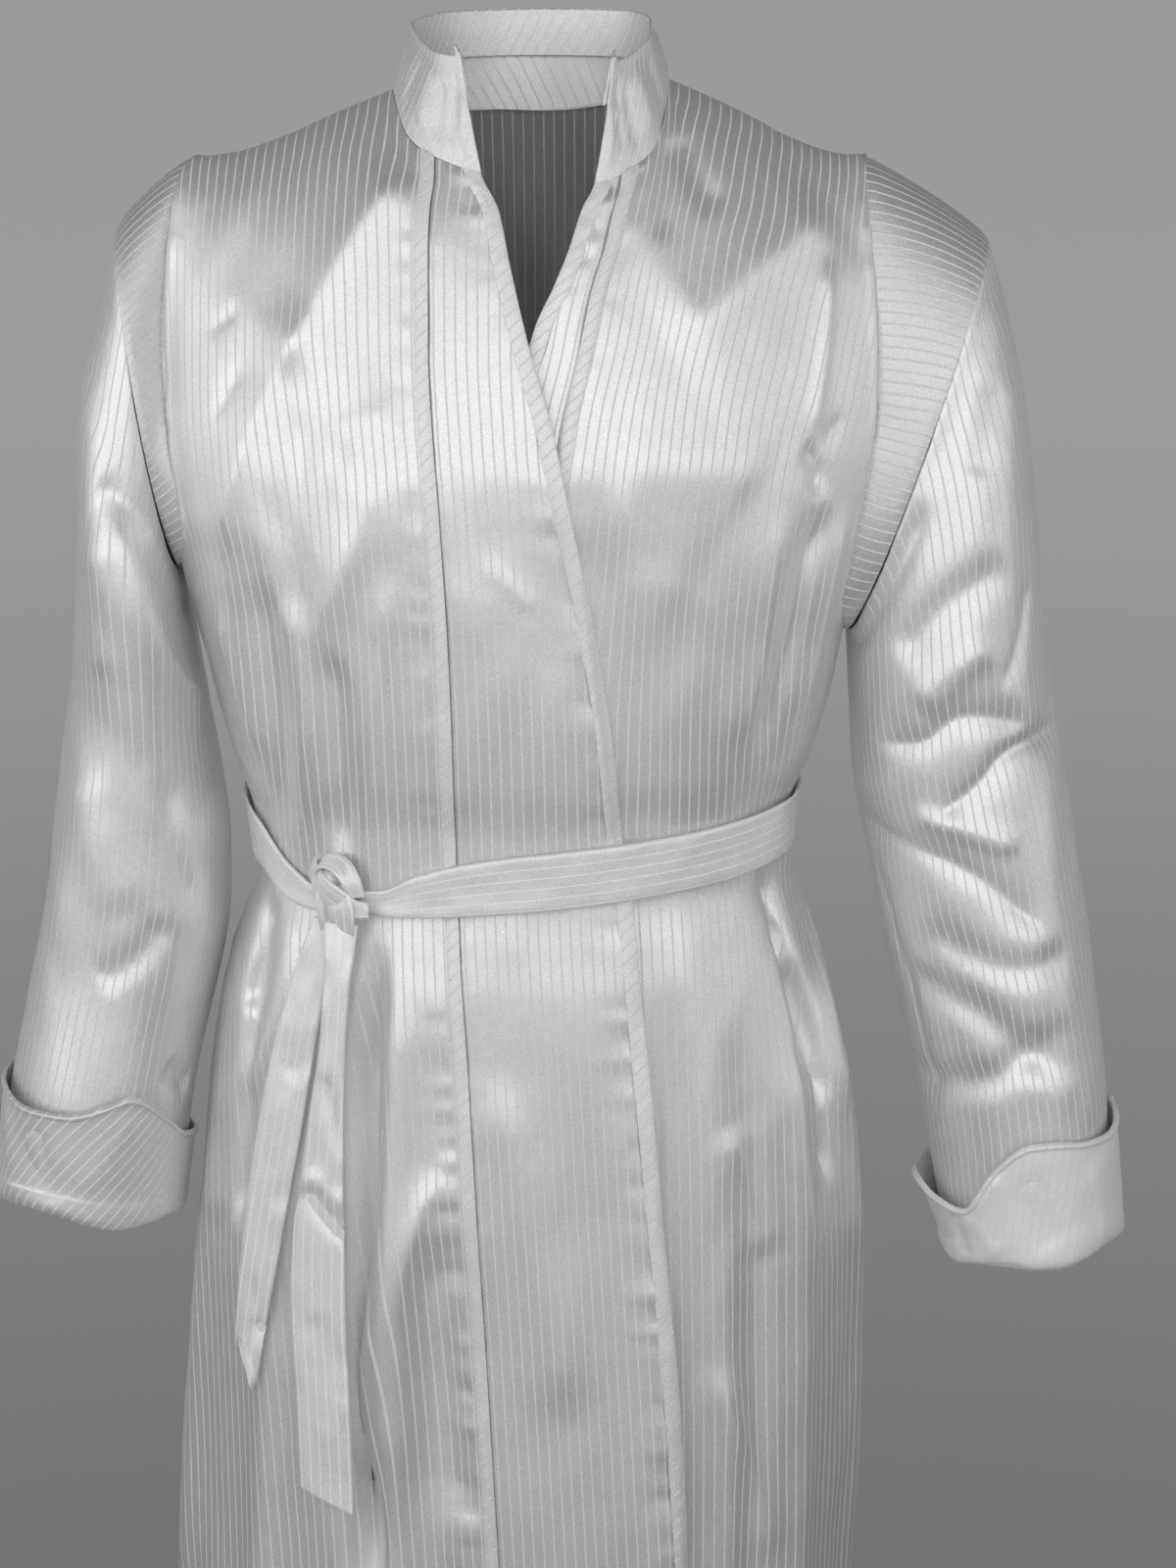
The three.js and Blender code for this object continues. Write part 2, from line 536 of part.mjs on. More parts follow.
// whole grid of the back, from the wearer's right side round to the left
function backGrid() {
  const half = BACK_COLUMNS / 2;
  const columns = [];
  for (let k = -half; k <= half; k += 1) {
    const side = k < 0 ? 'right' : 'left';
    const share = Math.abs(k) / half;
    const inside = Math.abs(k) < NECK_COLUMNS;
    const x = inside
      ? (NECK_POINT[side] * Math.abs(k)) / NECK_COLUMNS
      : mix(NECK_POINT[side], SHOULDER_END[side], (Math.abs(k) - NECK_COLUMNS) / SHOULDER_COLUMNS);
    const z = inside ? read(NECK_BACK, 'x', 'z', x) : read(SHOULDER, 'x', 'z', x);
    columns.push({ k, side, share, x, z, inside });
  }
  const rows = [];
  const rowAt = (zOf, step) => columns.map((c) => {
    const z = zOf(c);
    const out = c.side === 'right' ? -1 : 1;
    const limit = step < 1 ? read(ARMHOLE, 'step', 'back', step) : 90;
    const topShare = Math.abs(angleOf(c.x, c.z)) / read(ARMHOLE, 'step', 'back', 0);
    const share = c.share === 1 ? 1 : mix(topShare, c.share, ease(step / 0.9));
    const turn = step === 0 ? Math.abs(angleOf(c.x, c.z)) : columnAngle(0, limit, share, step);
    if (step === 0 && !c.inside) return [c.x, 0, c.z];
    return robePoint(out * (180 - turn), z, 0);
  });
  const spread = (c) => (c.k + half) / BACK_COLUMNS;
  for (let i = 0; i <= UPPER_ROWS; i += 1) {
    const step = i / UPPER_ROWS;
    const armpit = (c) => mix(ARMPIT.right, ARMPIT.left, ease(spread(c)));
    rows.push(rowAt((c) => mix(c.z, armpit(c), rowShare(step, c.share)), step));
  }
  LOWER_ROWS.forEach((level, i) => {
    rows.push(rowAt((c) => mix(level.right, level.left, ease(spread(c))), 2 + i));
  });
  return rows;
}

// outward normals of a grid
function gridNormals(rows, wrap, out) {
  const height = rows.length;
  const width = rows[0].length;
  return rows.map((row, i) => row.map((point, j) => {
    const up = rows[Math.max(0, i - 1)][j];
    const down = rows[Math.min(height - 1, i + 1)][j];
    const west = wrap ? row[(j + width - 1) % width] : row[Math.max(0, j - 1)];
    const east = wrap ? row[(j + 1) % width] : row[Math.min(width - 1, j + 1)];
    const n = unit(cross(sub(down, up), sub(east, west)));
    return [n[0] * out, n[1] * out, n[2] * out];
  }));
}

// one shared normal where two grids meet
function shareNormal(first, i, j, second, k, m) {
  const n = unit(add(first[i][j], second[k][m]));
  first[i][j] = n;
  second[k][m] = n;
}

// closed wall between an outer and an inner grid
function wallMesh(name, outer, inner, wrap) {
  const height = outer.length;
  const width = outer[0].length;
  const points = [...outer.flat(), ...inner.flat()];
  const base = height * width;
  const faces = [];
  const quad = (a, b, c, d) => faces.push([a, b, c], [a, c, d]);
  const spanJ = wrap ? width : width - 1;
  for (let i = 0; i < height - 1; i += 1) {
    for (let j = 0; j < spanJ; j += 1) {
      const a = i * width + j;
      const b = (i + 1) * width + j;
      const c = (i + 1) * width + ((j + 1) % width);
      const d = i * width + ((j + 1) % width);
      quad(a, b, c, d);
      faces.push([base + a, base + c, base + b], [base + a, base + d, base + c]);
    }
  }
  for (let j = 0; j < spanJ; j += 1) {
    const a = j;
    const d = (j + 1) % width;
    quad(a, d, base + d, base + a);
    const e = (height - 1) * width + j;
    const f = (height - 1) * width + ((j + 1) % width);
    quad(f, e, base + e, base + f);
  }
  if (!wrap) {
    for (let i = 0; i < height - 1; i += 1) {
      const a = i * width;
      const b = (i + 1) * width;
      quad(b, a, base + a, base + b);
      const c = i * width + width - 1;
      const d = (i + 1) * width + width - 1;
      quad(c, d, base + d, base + c);
    }
  }
  return solid(name, points, faces);
}

// closed body swept through sections; open sweeps get flat ends
function sweepMesh(name, sections, loop) {
  const count = sections.length;
  const width = sections[0].length;
  const points = sections.flat();
  const faces = [];
  const spans = loop ? count : count - 1;
  for (let i = 0; i < spans; i += 1) {
    const next = (i + 1) % count;
    for (let j = 0; j < width; j += 1) {
      const k = (j + 1) % width;
      faces.push([i * width + j, next * width + j, next * width + k]);
      faces.push([i * width + j, next * width + k, i * width + k]);
    }
  }
  if (!loop) {
    for (const [index, turn] of [[0, 1], [count - 1, -1]]) {
      const middle = sections[index].reduce((s, p) => add(s, p, 1 / width), [0, 0, 0]);
      const m = points.push(middle) - 1;
      for (let j = 0; j < width; j += 1) {
        const a = index * width + j;
        const b = index * width + ((j + 1) % width);
        faces.push(turn === 1 ? [m, a, b] : [m, b, a]);
      }
    }
  }
  return solid(name, points, faces);
}

function solid(name, points, faces) {
  let volume = 0;
  for (const [a, b, c] of faces) volume += dot(points[a], cross(points[b], points[c]));
  const turned = volume < 0 ? faces.map(([a, b, c]) => [a, c, b]) : faces;
  const geometry = new THREE.BufferGeometry();
  geometry.setAttribute('position', new THREE.Float32BufferAttribute(points.flat(), 3));
  geometry.setIndex(turned.flat());
  const mesh = new THREE.Mesh(geometry, new THREE.MeshStandardMaterial({ color: 0xe8e8e6 }));
  mesh.name = name;
  return mesh;
}

const slice = (rows, from, to) => rows.map((row) => row.slice(from, to + 1));

// draws the chosen borders of a piece back by half a seam
function seamed(rows, normals, borders) {
  const height = rows.length;
  const width = rows[0].length;
  const half = (SEAM_GAP / 2) * (borders.wide || 1);
  return rows.map((row, i) => row.map((point, j) => {
    let moved = point;
    const pull = (neighbour) => {
      const way = sub(neighbour, point);
      const along = unit(sub(way, [0, 1, 2].map((k) => normals[i][j][k] * dot(way, normals[i][j]))));
      moved = add(moved, along, half);
    };
    if (borders.first && j === 0) pull(row[1]);
    if (borders.last && j === width - 1) pull(row[width - 2]);
    if (borders.top && i === 0 && borders.top(j)) pull(rows[1][j]);
    if (borders.end && i === height - 1) pull(rows[height - 2][j]);
    return moved;
  }));
}

function clothPiece(name, rows, normals, borders, wrap = false) {
  const outer = seamed(rows, normals, borders);
  const inner = outer.map((row, i) => row.map((p, j) => add(p, normals[i][j], -CLOTH_WALL)));
  return wallMesh(name, outer, inner, wrap);
}

function trimPiece(name, rows, normals) {
  const outer = rows.map((row, i) => row.map((p, j) => add(p, normals[i][j], TRIM_GAP + TRIM_WALL)));
  const inner = rows.map((row, i) => row.map((p, j) => add(p, normals[i][j], TRIM_GAP)));
  return wallMesh(name, outer, inner, false);
}

// one sleeve ring point
function ringPoint(table, t, angle) {
  const place = t * (table.length - 1);
  const keyed = table.map((row, index) => ({ ...row, index }));
  const at = (column) => {
    if (place <= keyed.length - 1) return read(keyed, 'index', column, place);
    const last = keyed.length - 1;
    return keyed[last][column] + (keyed[last][column] - keyed[last - 1][column]) * (place - last);
  };
  const cx = (at('ox') + at('ix')) / 2;
  const cz = (at('oz') + at('iz')) / 2;
  const c = Math.cos(angle);
  const s = Math.sin(angle);
  const along = Math.sign(c) * Math.abs(c) ** (2 / SLEEVE_POWER);
  const across = Math.sign(s) * Math.abs(s) ** (2 / SLEEVE_POWER);
  return [
    cx + (at('ox') - cx) * along,
    at('mid') - at('deep') * across,
    cz + (at('oz') - cz) * along + at('lift') * across,
  ];
}

// depth of the folds on a sleeve
function sleeveFold(folds, angle, t) {
  let total = 0;
  const a = deg(angle);
  for (const f of folds) {
    const ux = (f.a2 - f.a1) / 360;
    const ut = (f.t2 - f.t1) * 0.55;
    const size = Math.hypot(ux, ut);
    const px = (a - f.a1) / 360;
    const pt = (t - f.t1) * 0.55;
    const along = (px * ux + pt * ut) / (size * size);
    if (along < -0.1 || along > 1.1) continue;
    const off = (px * ut - pt * ux) / size;
    total += f.depth * Math.exp(-((off / f.half) ** 2)) * ease((along + 0.1) / 0.3) * ease((1.1 - along) / 0.3);
  }
  return total * ease(t / 0.12) * ease((0.92 - t) / 0.1);
}

// armhole band and sleeve as one tube, from the armhole down to the wrist
function sleeveTube(side, front, back, frontNormals, backNormals) {
  const table = side === 'right' ? SLEEVE_RIGHT : SLEEVE_LEFT;
  const folds = side === 'right' ? SLEEVE_RIGHT_FOLDS : SLEEVE_LEFT_FOLDS;
  const lastFront = front[0].length - 1;
  const backColumn = side === 'right' ? 0 : back[0].length - 1;
  const backNext = side === 'right' ? 1 : backColumn - 1;
  const around = UPPER_ROWS * 2;
  const armhole = [];
  for (let j = 0; j < around; j += 1) {
    const ahead = j <= UPPER_ROWS;
    const i = ahead ? j : around - j;
    const point = ahead ? front[i][lastFront] : back[i][backColumn];
    const normal = ahead ? frontNormals[i][lastFront] : backNormals[i][backColumn];
    const inside = ahead ? front[i][lastFront - 1] : back[i][backNext];
    const way = sub(point, inside);
    const along = unit(sub(way, [0, 1, 2].map((k) => normal[k] * dot(way, normal))));
    const away = i === UPPER_ROWS ? [0, 0, 1] : along;
    armhole.push(add(point, away, ARMHOLE_GAP));
  }
  const rows = [armhole];
  const ring = (t) => {
    const row = [];
    for (let j = 0; j < around; j += 1) {
      const angle = (j * Math.PI) / UPPER_ROWS;
      const p = ringPoint(table, t, angle);
      const q = ringPoint(table, t, angle + 0.01);
      const middle = mixPoint(ringPoint(table, t, 0), ringPoint(table, t, Math.PI), 0.5);
      const out = unit(sub(mixPoint(p, q, 0.5), middle));
      row.push(add(p, out, sleeveFold(folds, angle, t)));
    }
    return row;
  };
  const first = ring(0);
  rows.push(armhole.map((p, j) => {
    const swell = 2.5 * clamp01((Math.hypot(...sub(first[j], p)) - 12) / 40);
    const middle = mixPoint(first[0], first[UPPER_ROWS], 0.5);
    return add(mixPoint(p, first[j], 0.5), unit(sub(first[j], middle)), swell);
  }));
  for (let k = 0; k < table.length; k += 1) rows.push(ring(k / (table.length - 1)));
  return rows;
}

// cuff turned back over the wrist end of a sleeve
function cuffMesh(name, side) {
  const table = side === 'right' ? SLEEVE_RIGHT : SLEEVE_LEFT;
  const cuff = side === 'right' ? CUFF_RIGHT : CUFF_LEFT;
  const around = UPPER_ROWS * 2;
  const last = table.length - 1;
  const rise = Math.hypot(
    (table[last].ox + table[last].ix - table[last - 1].ox - table[last - 1].ix) / 2,
    (table[last].oz + table[last].iz - table[last - 1].oz - table[last - 1].iz) / 2,
    table[last].mid - table[last - 1].mid,
  ) * last;
  const sections = [];
  for (let j = 0; j < around; j += 1) {
    const angle = (j * Math.PI) / UPPER_ROWS;
    const at = (out, height) => {
      const t = 1 - (height - 12) / rise;
      const p = ringPoint(table, t, angle);
      const middle = mixPoint(ringPoint(table, t, 0), ringPoint(table, t, Math.PI), 0.5);
      return add(p, unit(sub(p, middle)), out);
    };
    const column = (key) => read(cuff, 'angle', key, deg(angle));
    const top = column('top');
    const flare = column('flare');
    const hug = column('hug');
    const low = column('low');
    const shoulder = mix(24, top, 0.7);
    const bend = mix(hug, flare, 0.6);
    const wall = CLOTH_WALL;
    sections.push([
      at(0, 12 - SEAM_GAP), at(1.8, 10), at(2.6, 24), at(bend, shoulder), at(flare, top),
      at(flare + wall, top), at(bend + wall, shoulder), at(hug + wall, 24), at(hug + wall, low + 5),
      at(1.4, low), at(-wall, low + 3.5), at(-wall, 12 - SEAM_GAP),
    ]);
  }
  return sweepMesh(name, sections, true);
}

// standing collar on the neck seam
function collarGrid(frontRight, backRows, frontLeft, stripColumn) {
  const neckColumn = stripColumn + NECK_COLUMNS;
  const half = BACK_COLUMNS / 2;
  const seam = [];
  for (let k = 0; k <= neckColumn; k += 1) seam.push(frontRight[0][k]);
  for (let k = half - NECK_COLUMNS + 1; k <= half + NECK_COLUMNS; k += 1) seam.push(backRows[0][k]);
  for (let k = neckColumn - 1; k >= 0; k -= 1) seam.push(frontLeft[0][k]);
  const lengths = [0];
  for (let k = 1; k < seam.length; k += 1) lengths.push(lengths[k - 1] + Math.hypot(...sub(seam[k], seam[k - 1])));
  const whole = lengths[lengths.length - 1];
  const rows = [];
  const count = 5;
  for (let i = 0; i < count; i += 1) {
    const up = i / (count - 1);
    rows.push(seam.map((p, k) => {
      const turn = lengths[k] / whole;
      const top = [read(COLLAR_TOP, 'turn', 'x', turn), read(COLLAR_TOP, 'turn', 'y', turn),
        read(COLLAR_TOP, 'turn', 'z', turn)];
      const foot = [p[0], p[1], p[2] + SEAM_GAP + 0.15];
      const mid = mixPoint(foot, top, up);
      const bulge = 1.6 * Math.sin(Math.PI * up) + 1.2 * Math.sin(turn * 31) * up;
      const out = unit([mid[0] - 3, mid[1], 0]);
      return add(mid, out, bulge);
    }));
  }
  return rows;
}

// section of the belt at one wrap angle
function beltSection(a) {
  const z = read(BELT, 'a', 'z', a);
  const widen = BELT_CLEAR;
  const turn = rad(a);
  const out = [Math.sin(turn), -Math.cos(turn), 0];
  const edge = (rise, off) => {
    const p = robePoint(a, z + rise, 0);
    return [p[0] + out[0] * off, p[1] + out[1] * off, z + rise];
  };
  const h = read(BELT, 'a', 'wide', a) / 2;
  return [edge(h, widen), edge(0, widen), edge(-h, widen),
    edge(-h, widen + BELT_WALL), edge(0, widen + BELT_WALL), edge(h, widen + BELT_WALL)];
}

const knotMiddle = () => read(BELT, 'a', 'z', KNOT.a) + KNOT.lift;

// flat hanging end of the belt
function beltEnd(name, ends) {
  const table = ends.map((row, i) => (i === 0 ? { ...row, z: knotMiddle() - KNOT.cut * (KNOT.tall / 2) - SEAM_GAP } : row));
  const sections = table.map((row) => {
    const section = [];
    const left = row.x - row.wide / 2;
    const right = row.x + row.wide / 2;
    const at = (x, off) => {
      const a = angleOf(x, row.z);
      const p = robePoint(a, row.z, 0);
      const turn = rad(a);
      return [p[0] + Math.sin(turn) * off, p[1] - Math.cos(turn) * off, row.z];
    };
    for (const [x, off] of [[left, row.off], [row.x, row.off + 1], [right, row.off],
      [right, row.off + BELT_WALL], [row.x, row.off + 1 + BELT_WALL], [left, row.off + BELT_WALL]]) {
      section.push(at(x, off));
    }
    return section;
  });
  return sweepMesh(name, sections, false);
}

// rounded knot in front of the belt
function knotMesh() {
  const z = knotMiddle();
  const turn = rad(KNOT.a);
  const out = [Math.sin(turn), -Math.cos(turn), 0];
  const across = [Math.cos(turn), Math.sin(turn), 0];
  const face = robePoint(KNOT.a, z, 0);
  const middle = add(face, out, BELT_CLEAR + BELT_WALL + 0.9 + KNOT.deep / 2);
  const sections = [];
  const count = 9;
  for (let i = 0; i < count; i += 1) {
    const share = mix(-KNOT.cut, KNOT.cut, i / (count - 1));
    const size = Math.sqrt(1 - share * share) ** 0.7;
    const pinch = 1 - 0.16 * Math.exp(-((share / 0.28) ** 2));
    const section = [];
    for (let j = 0; j < 14; j += 1) {
      const b = (j * 2 * Math.PI) / 14;
      const w = Math.cos(b) * (KNOT.wide / 2) * size * pinch;
      const d = Math.sin(b) * (KNOT.deep / 2) * size;
      section.push(add(add(add(middle, across, w), out, d), [0, 0, 1], share * (KNOT.tall / 2)));
    }
    sections.push(section);
  }
  return sweepMesh('belt_knot', sections, false);
}

function build() {
  const group = new THREE.Group();
  const right = frontGrid('right');
  const left = frontGrid('left');
  const back = backGrid();
  const rightNormals = gridNormals(right.rows, false, -1);
  const leftNormals = gridNormals(left.rows, false, 1);
  const backNormals = gridNormals(back, false, -1);
  const lastFront = right.rows[0].length - 1;
  const lastBack = back[0].length - 1;
  const neckColumn = right.stripColumn + NECK_COLUMNS;
  for (let i = UPPER_ROWS; i < back.length; i += 1) {
    shareNormal(rightNormals, i, lastFront, backNormals, i, 0);
    shareNormal(leftNormals, i, lastFront, backNormals, i, lastBack);
  }
  for (let k = neckColumn; k <= lastFront; k += 1) {
    shareNormal(rightNormals, 0, k, backNormals, 0, lastFront - k);
    shareNormal(leftNormals, 0, k, backNormals, 0, lastBack - (lastFront - k));
  }
  for (const [side, grid, normals] of [['right', right, rightNormals], ['left', left, leftNormals]]) {
    const seamColumn = grid.stripColumn - 1;
    group.add(clothPiece(`front_${side}_band`, slice(grid.rows, 0, seamColumn), slice(normals, 0, seamColumn),
      { last: true }));
    group.add(clothPiece(`front_${side}_panel`, slice(grid.rows, seamColumn, lastFront),
      slice(normals, seamColumn, lastFront),
      { first: true, last: true, top: (j) => j + seamColumn >= neckColumn }));
    group.add(trimPiece(`front_${side}_strip`, slice(grid.rows, seamColumn, grid.stripColumn),
      slice(normals, seamColumn, grid.stripColumn)));
    group.add(trimPiece(`front_${side}_edge`, slice(grid.rows, 0, 1), slice(normals, 0, 1)));
    const tube = sleeveTube(side, grid.rows, back, normals, backNormals);
    const tubeNormals = gridNormals(tube, true, side === 'right' ? 1 : -1);
    const cut = 2;
    group.add(clothPiece(`armhole_band_${side}`, tube.slice(0, cut + 1), tubeNormals.slice(0, cut + 1),
      { end: true, wide: 2.6 }, true));
    group.add(clothPiece(`sleeve_${side}`, tube.slice(cut), tubeNormals.slice(cut),
      { top: () => true, wide: 2.6 }, true));
    group.add(cuffMesh(`cuff_${side}`, side));
  }
  group.add(clothPiece('back', back, backNormals,
    { first: true, last: true, top: (j) => j <= lastFront - neckColumn || j >= lastBack - (lastFront - neckColumn) }));
  const collar = collarGrid(right.rows, back, left.rows, right.stripColumn);
  group.add(clothPiece('collar', collar, gridNormals(collar, false, 1), {}));
  const belt = [];
  for (let k = 0; k < BELT_SECTIONS; k += 1) belt.push(beltSection(-180 + (360 * k) / BELT_SECTIONS + 0.01));
  group.add(sweepMesh('belt', belt, true));
  group.add(knotMesh());
  group.add(beltEnd('belt_end_front', END_FRONT));
  group.add(beltEnd('belt_end_back', END_BACK));
  return group;
}

export default build();
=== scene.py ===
import math

import bpy
import numpy as np
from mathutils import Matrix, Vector


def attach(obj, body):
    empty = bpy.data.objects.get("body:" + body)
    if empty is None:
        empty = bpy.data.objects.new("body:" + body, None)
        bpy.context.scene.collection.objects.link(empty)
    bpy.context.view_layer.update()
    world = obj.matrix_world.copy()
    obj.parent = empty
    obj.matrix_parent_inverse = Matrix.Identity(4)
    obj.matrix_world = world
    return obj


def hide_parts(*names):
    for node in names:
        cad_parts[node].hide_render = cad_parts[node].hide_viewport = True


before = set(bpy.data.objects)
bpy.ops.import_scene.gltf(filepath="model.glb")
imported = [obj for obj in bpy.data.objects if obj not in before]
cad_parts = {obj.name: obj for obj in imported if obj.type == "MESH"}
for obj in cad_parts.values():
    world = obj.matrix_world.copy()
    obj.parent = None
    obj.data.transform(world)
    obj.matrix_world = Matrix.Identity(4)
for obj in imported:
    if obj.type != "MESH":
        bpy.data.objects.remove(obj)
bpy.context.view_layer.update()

# All tables are in millimetres and in the robe's frame: X to the wearer's left,
# -Y to the front, Z up. Meshes are written in metres.
MM = 0.001
SIDES = ("right", "left")
OUT = {"right": -1, "left": 1}


def table(names, rows):
    """Named columns from short rows."""
    return {name: np.array([row[k] for row in rows], float) for k, name in enumerate(names.split())}


# half widths, depths and corner power of the robe at each height
BODY = table("z right left front back power", [
    (60, 226, 226, 108, 92, 2.2),
    (-30, 228, 228, 112, 94, 2.2),
    (-120, 229, 228, 117, 99, 2.2),
    (-160, 227, 224, 121, 105, 2.2),
    (-200, 221, 215, 125, 110, 2.2),
    (-256, 208, 201, 125, 109, 2.15),
    (-296, 200, 190, 123, 107, 2.1),
    (-333, 191, 183, 120, 104, 2.1),
    (-370, 181, 172, 115, 101, 2.1),
    (-405, 169, 159, 108, 97, 2.1),
    (-438, 166, 158, 107, 98, 2.1),
    (-473, 179, 168, 112, 105, 2.1),
    (-496, 187, 176, 116, 110, 2.1),
    (-540, 197, 190, 121, 118, 2.1),
    (-585, 203, 200, 126, 122, 2.1),
    (-640, 208, 205, 131, 126, 2.1),
    (-691, 215, 209, 135, 129, 2.1),
    (-800, 225, 210, 142, 135, 2.1),
    (-930, 234, 206, 148, 141, 2.1),
    (-1240, 250, 216, 165, 158, 2.1),
])
HEM_Z = -1240
HEM_TURN = 24
HEM_DEPTH = 30
EDGE_TURN = 6

# how far below the shoulders the front and the back reach their full depth
FRONT_SLOPE = 260
BACK_SLOPE = 180

# the ridge of the shoulders, seen from the front
SHOULDER = table("x z", [
    (-230, -34), (-201, -20), (-170, -16), (-141, -7), (-106, 8), (-76, 20), (-40, 37), (0, 43),
    (40, 41), (83, 25), (127, 6), (150, -6), (179, -16), (201, -19), (230, -34),
])
NECK_POINT = {"right": -76, "left": 83}
SHOULDER_END = {"right": -195, "left": 197}
ARMPIT = {"right": -256, "left": -296}

# where the collar is sewn on
NECK_FRONT = table("x z", [
    (-76, 20), (-74, 12), (-71, 2), (-67, -7), (-60, -14), (-45, -22), (-24, -29), (10, -34),
    (40, -35), (61, -26), (70, -19), (76, -8), (80, 6), (83, 25),
])
NECK_BACK = table("x z", [(-76, 20), (-60, 14), (-30, 10), (3, 9), (36, 12), (66, 18), (83, 25)])

# free front edge of each front and the seam of its centre band
FRONT = {
    "right": table("z edge seam", [
        (60, -40, -50), (-29, -24, -50), (-49, -14, -52), (-77, -8, -53), (-123, 3, -53),
        (-167, 16, -51), (-210, 25, -48), (-280, 40, -44), (-341, 50, -42), (-395, 55, -41),
        (-461, 63, -39), (-541, 71, -34), (-633, 79, -29), (-760, 90, -22), (-857, 96, -17),
        (-1240, 116, 2),
    ]),
    "left": table("z edge seam", [
        (60, 56, 62), (-35, 40, 54), (-49, 33, 50), (-70, 26, 45), (-92, 17, 38), (-110, 8, 34),
        (-125, 3, 31), (-167, -10, 21), (-210, -20, 15), (-280, -36, 10), (-341, -46, 8),
        (-400, -54, 8), (-500, -66, 12), (-633, -79, 16), (-857, -96, 22), (-1240, -115, 26),
    ]),
}
BINDING_WIDTH = 9
STRIP_WIDTH = 8
LAP_DEPTH = 5
LAP_EASE = 32

# wrap angle of the armhole edge, from the shoulder down to the armpit
ARMHOLE = table("step right left back", [
    (0, 57.0, 57.6, 57.3), (0.3, 62.9, 59.5, 61.5), (0.42, 64.8, 61.0, 64.5), (0.56, 64.9, 64.6, 67.0),
    (0.7, 65.8, 68.0, 69.5), (0.85, 71.5, 73.0, 74.5), (1, 90, 90, 90),
])
# wrap angles the inner columns keep to, at the shoulder and at the armpit
SHOULDER_CALM = 58
ARMPIT_CALM = 74
# share of a panel's top row that lies on the neck seam
NECK_SHARE = 3 / 11

# large folds of the skirt and back: wrap angle 0 at the front, +90 at the left side,
# where one degree is about DEGREE_MM of cloth
DEGREE_MM = 3.1
BODY_FOLDS = table("a1 z1 a2 z2 bow half depth", [
    (-28, -455, -24, -900, 0, 8, -16),
    (-21, -480, -19, -1300, 0, 8, 4),
    (64, -455, 63, -640, -8, 10, -8),
    (77, -470, 80, -1300, 0, 14, 5),
    (-60, -462, -57, -660, 0, 9, -6),
    (-14, -640, -13, -1300, 0, 13, -7),
    (-72, -500, -70, -1300, 0, 15, 5),
    (-45, -480, -42, -1300, 6, 13, 5),
    (20, -490, 25, -1300, 0, 16, 4),
    (40, -480, 41, -1300, 0, 12, -5),
    (52, -500, 54, -1300, 0, 12, 4),
    (110, -120, 150, -330, 12, 16, -4),
    (-112, -110, -150, -330, -12, 16, -4),
    (165, -200, 158, -390, 0, 14, 4),
    (-160, -210, -168, -390, 0, 12, 4),
    (128, -270, 122, -392, 0, 11, -5),
    (-128, -260, -120, -392, 0, 11, -5),
    (104, -480, 106, -1300, 0, 12, -7),
    (120, -480, 123, -1300, 0, 14, 6),
    (138, -480, 140, -1300, 0, 12, -7),
    (156, -480, 157, -1300, 0, 14, 6),
    (174, -480, 173, -1300, 0, 12, -6),
    (-98, -480, -100, -1300, 0, 12, -6),
    (-115, -480, -118, -1300, 0, 14, 6),
    (-134, -480, -136, -1300, 0, 12, -7),
    (-152, -480, -154, -1300, 0, 14, 6),
    (-170, -480, -170, -1300, 0, 12, -5),
])

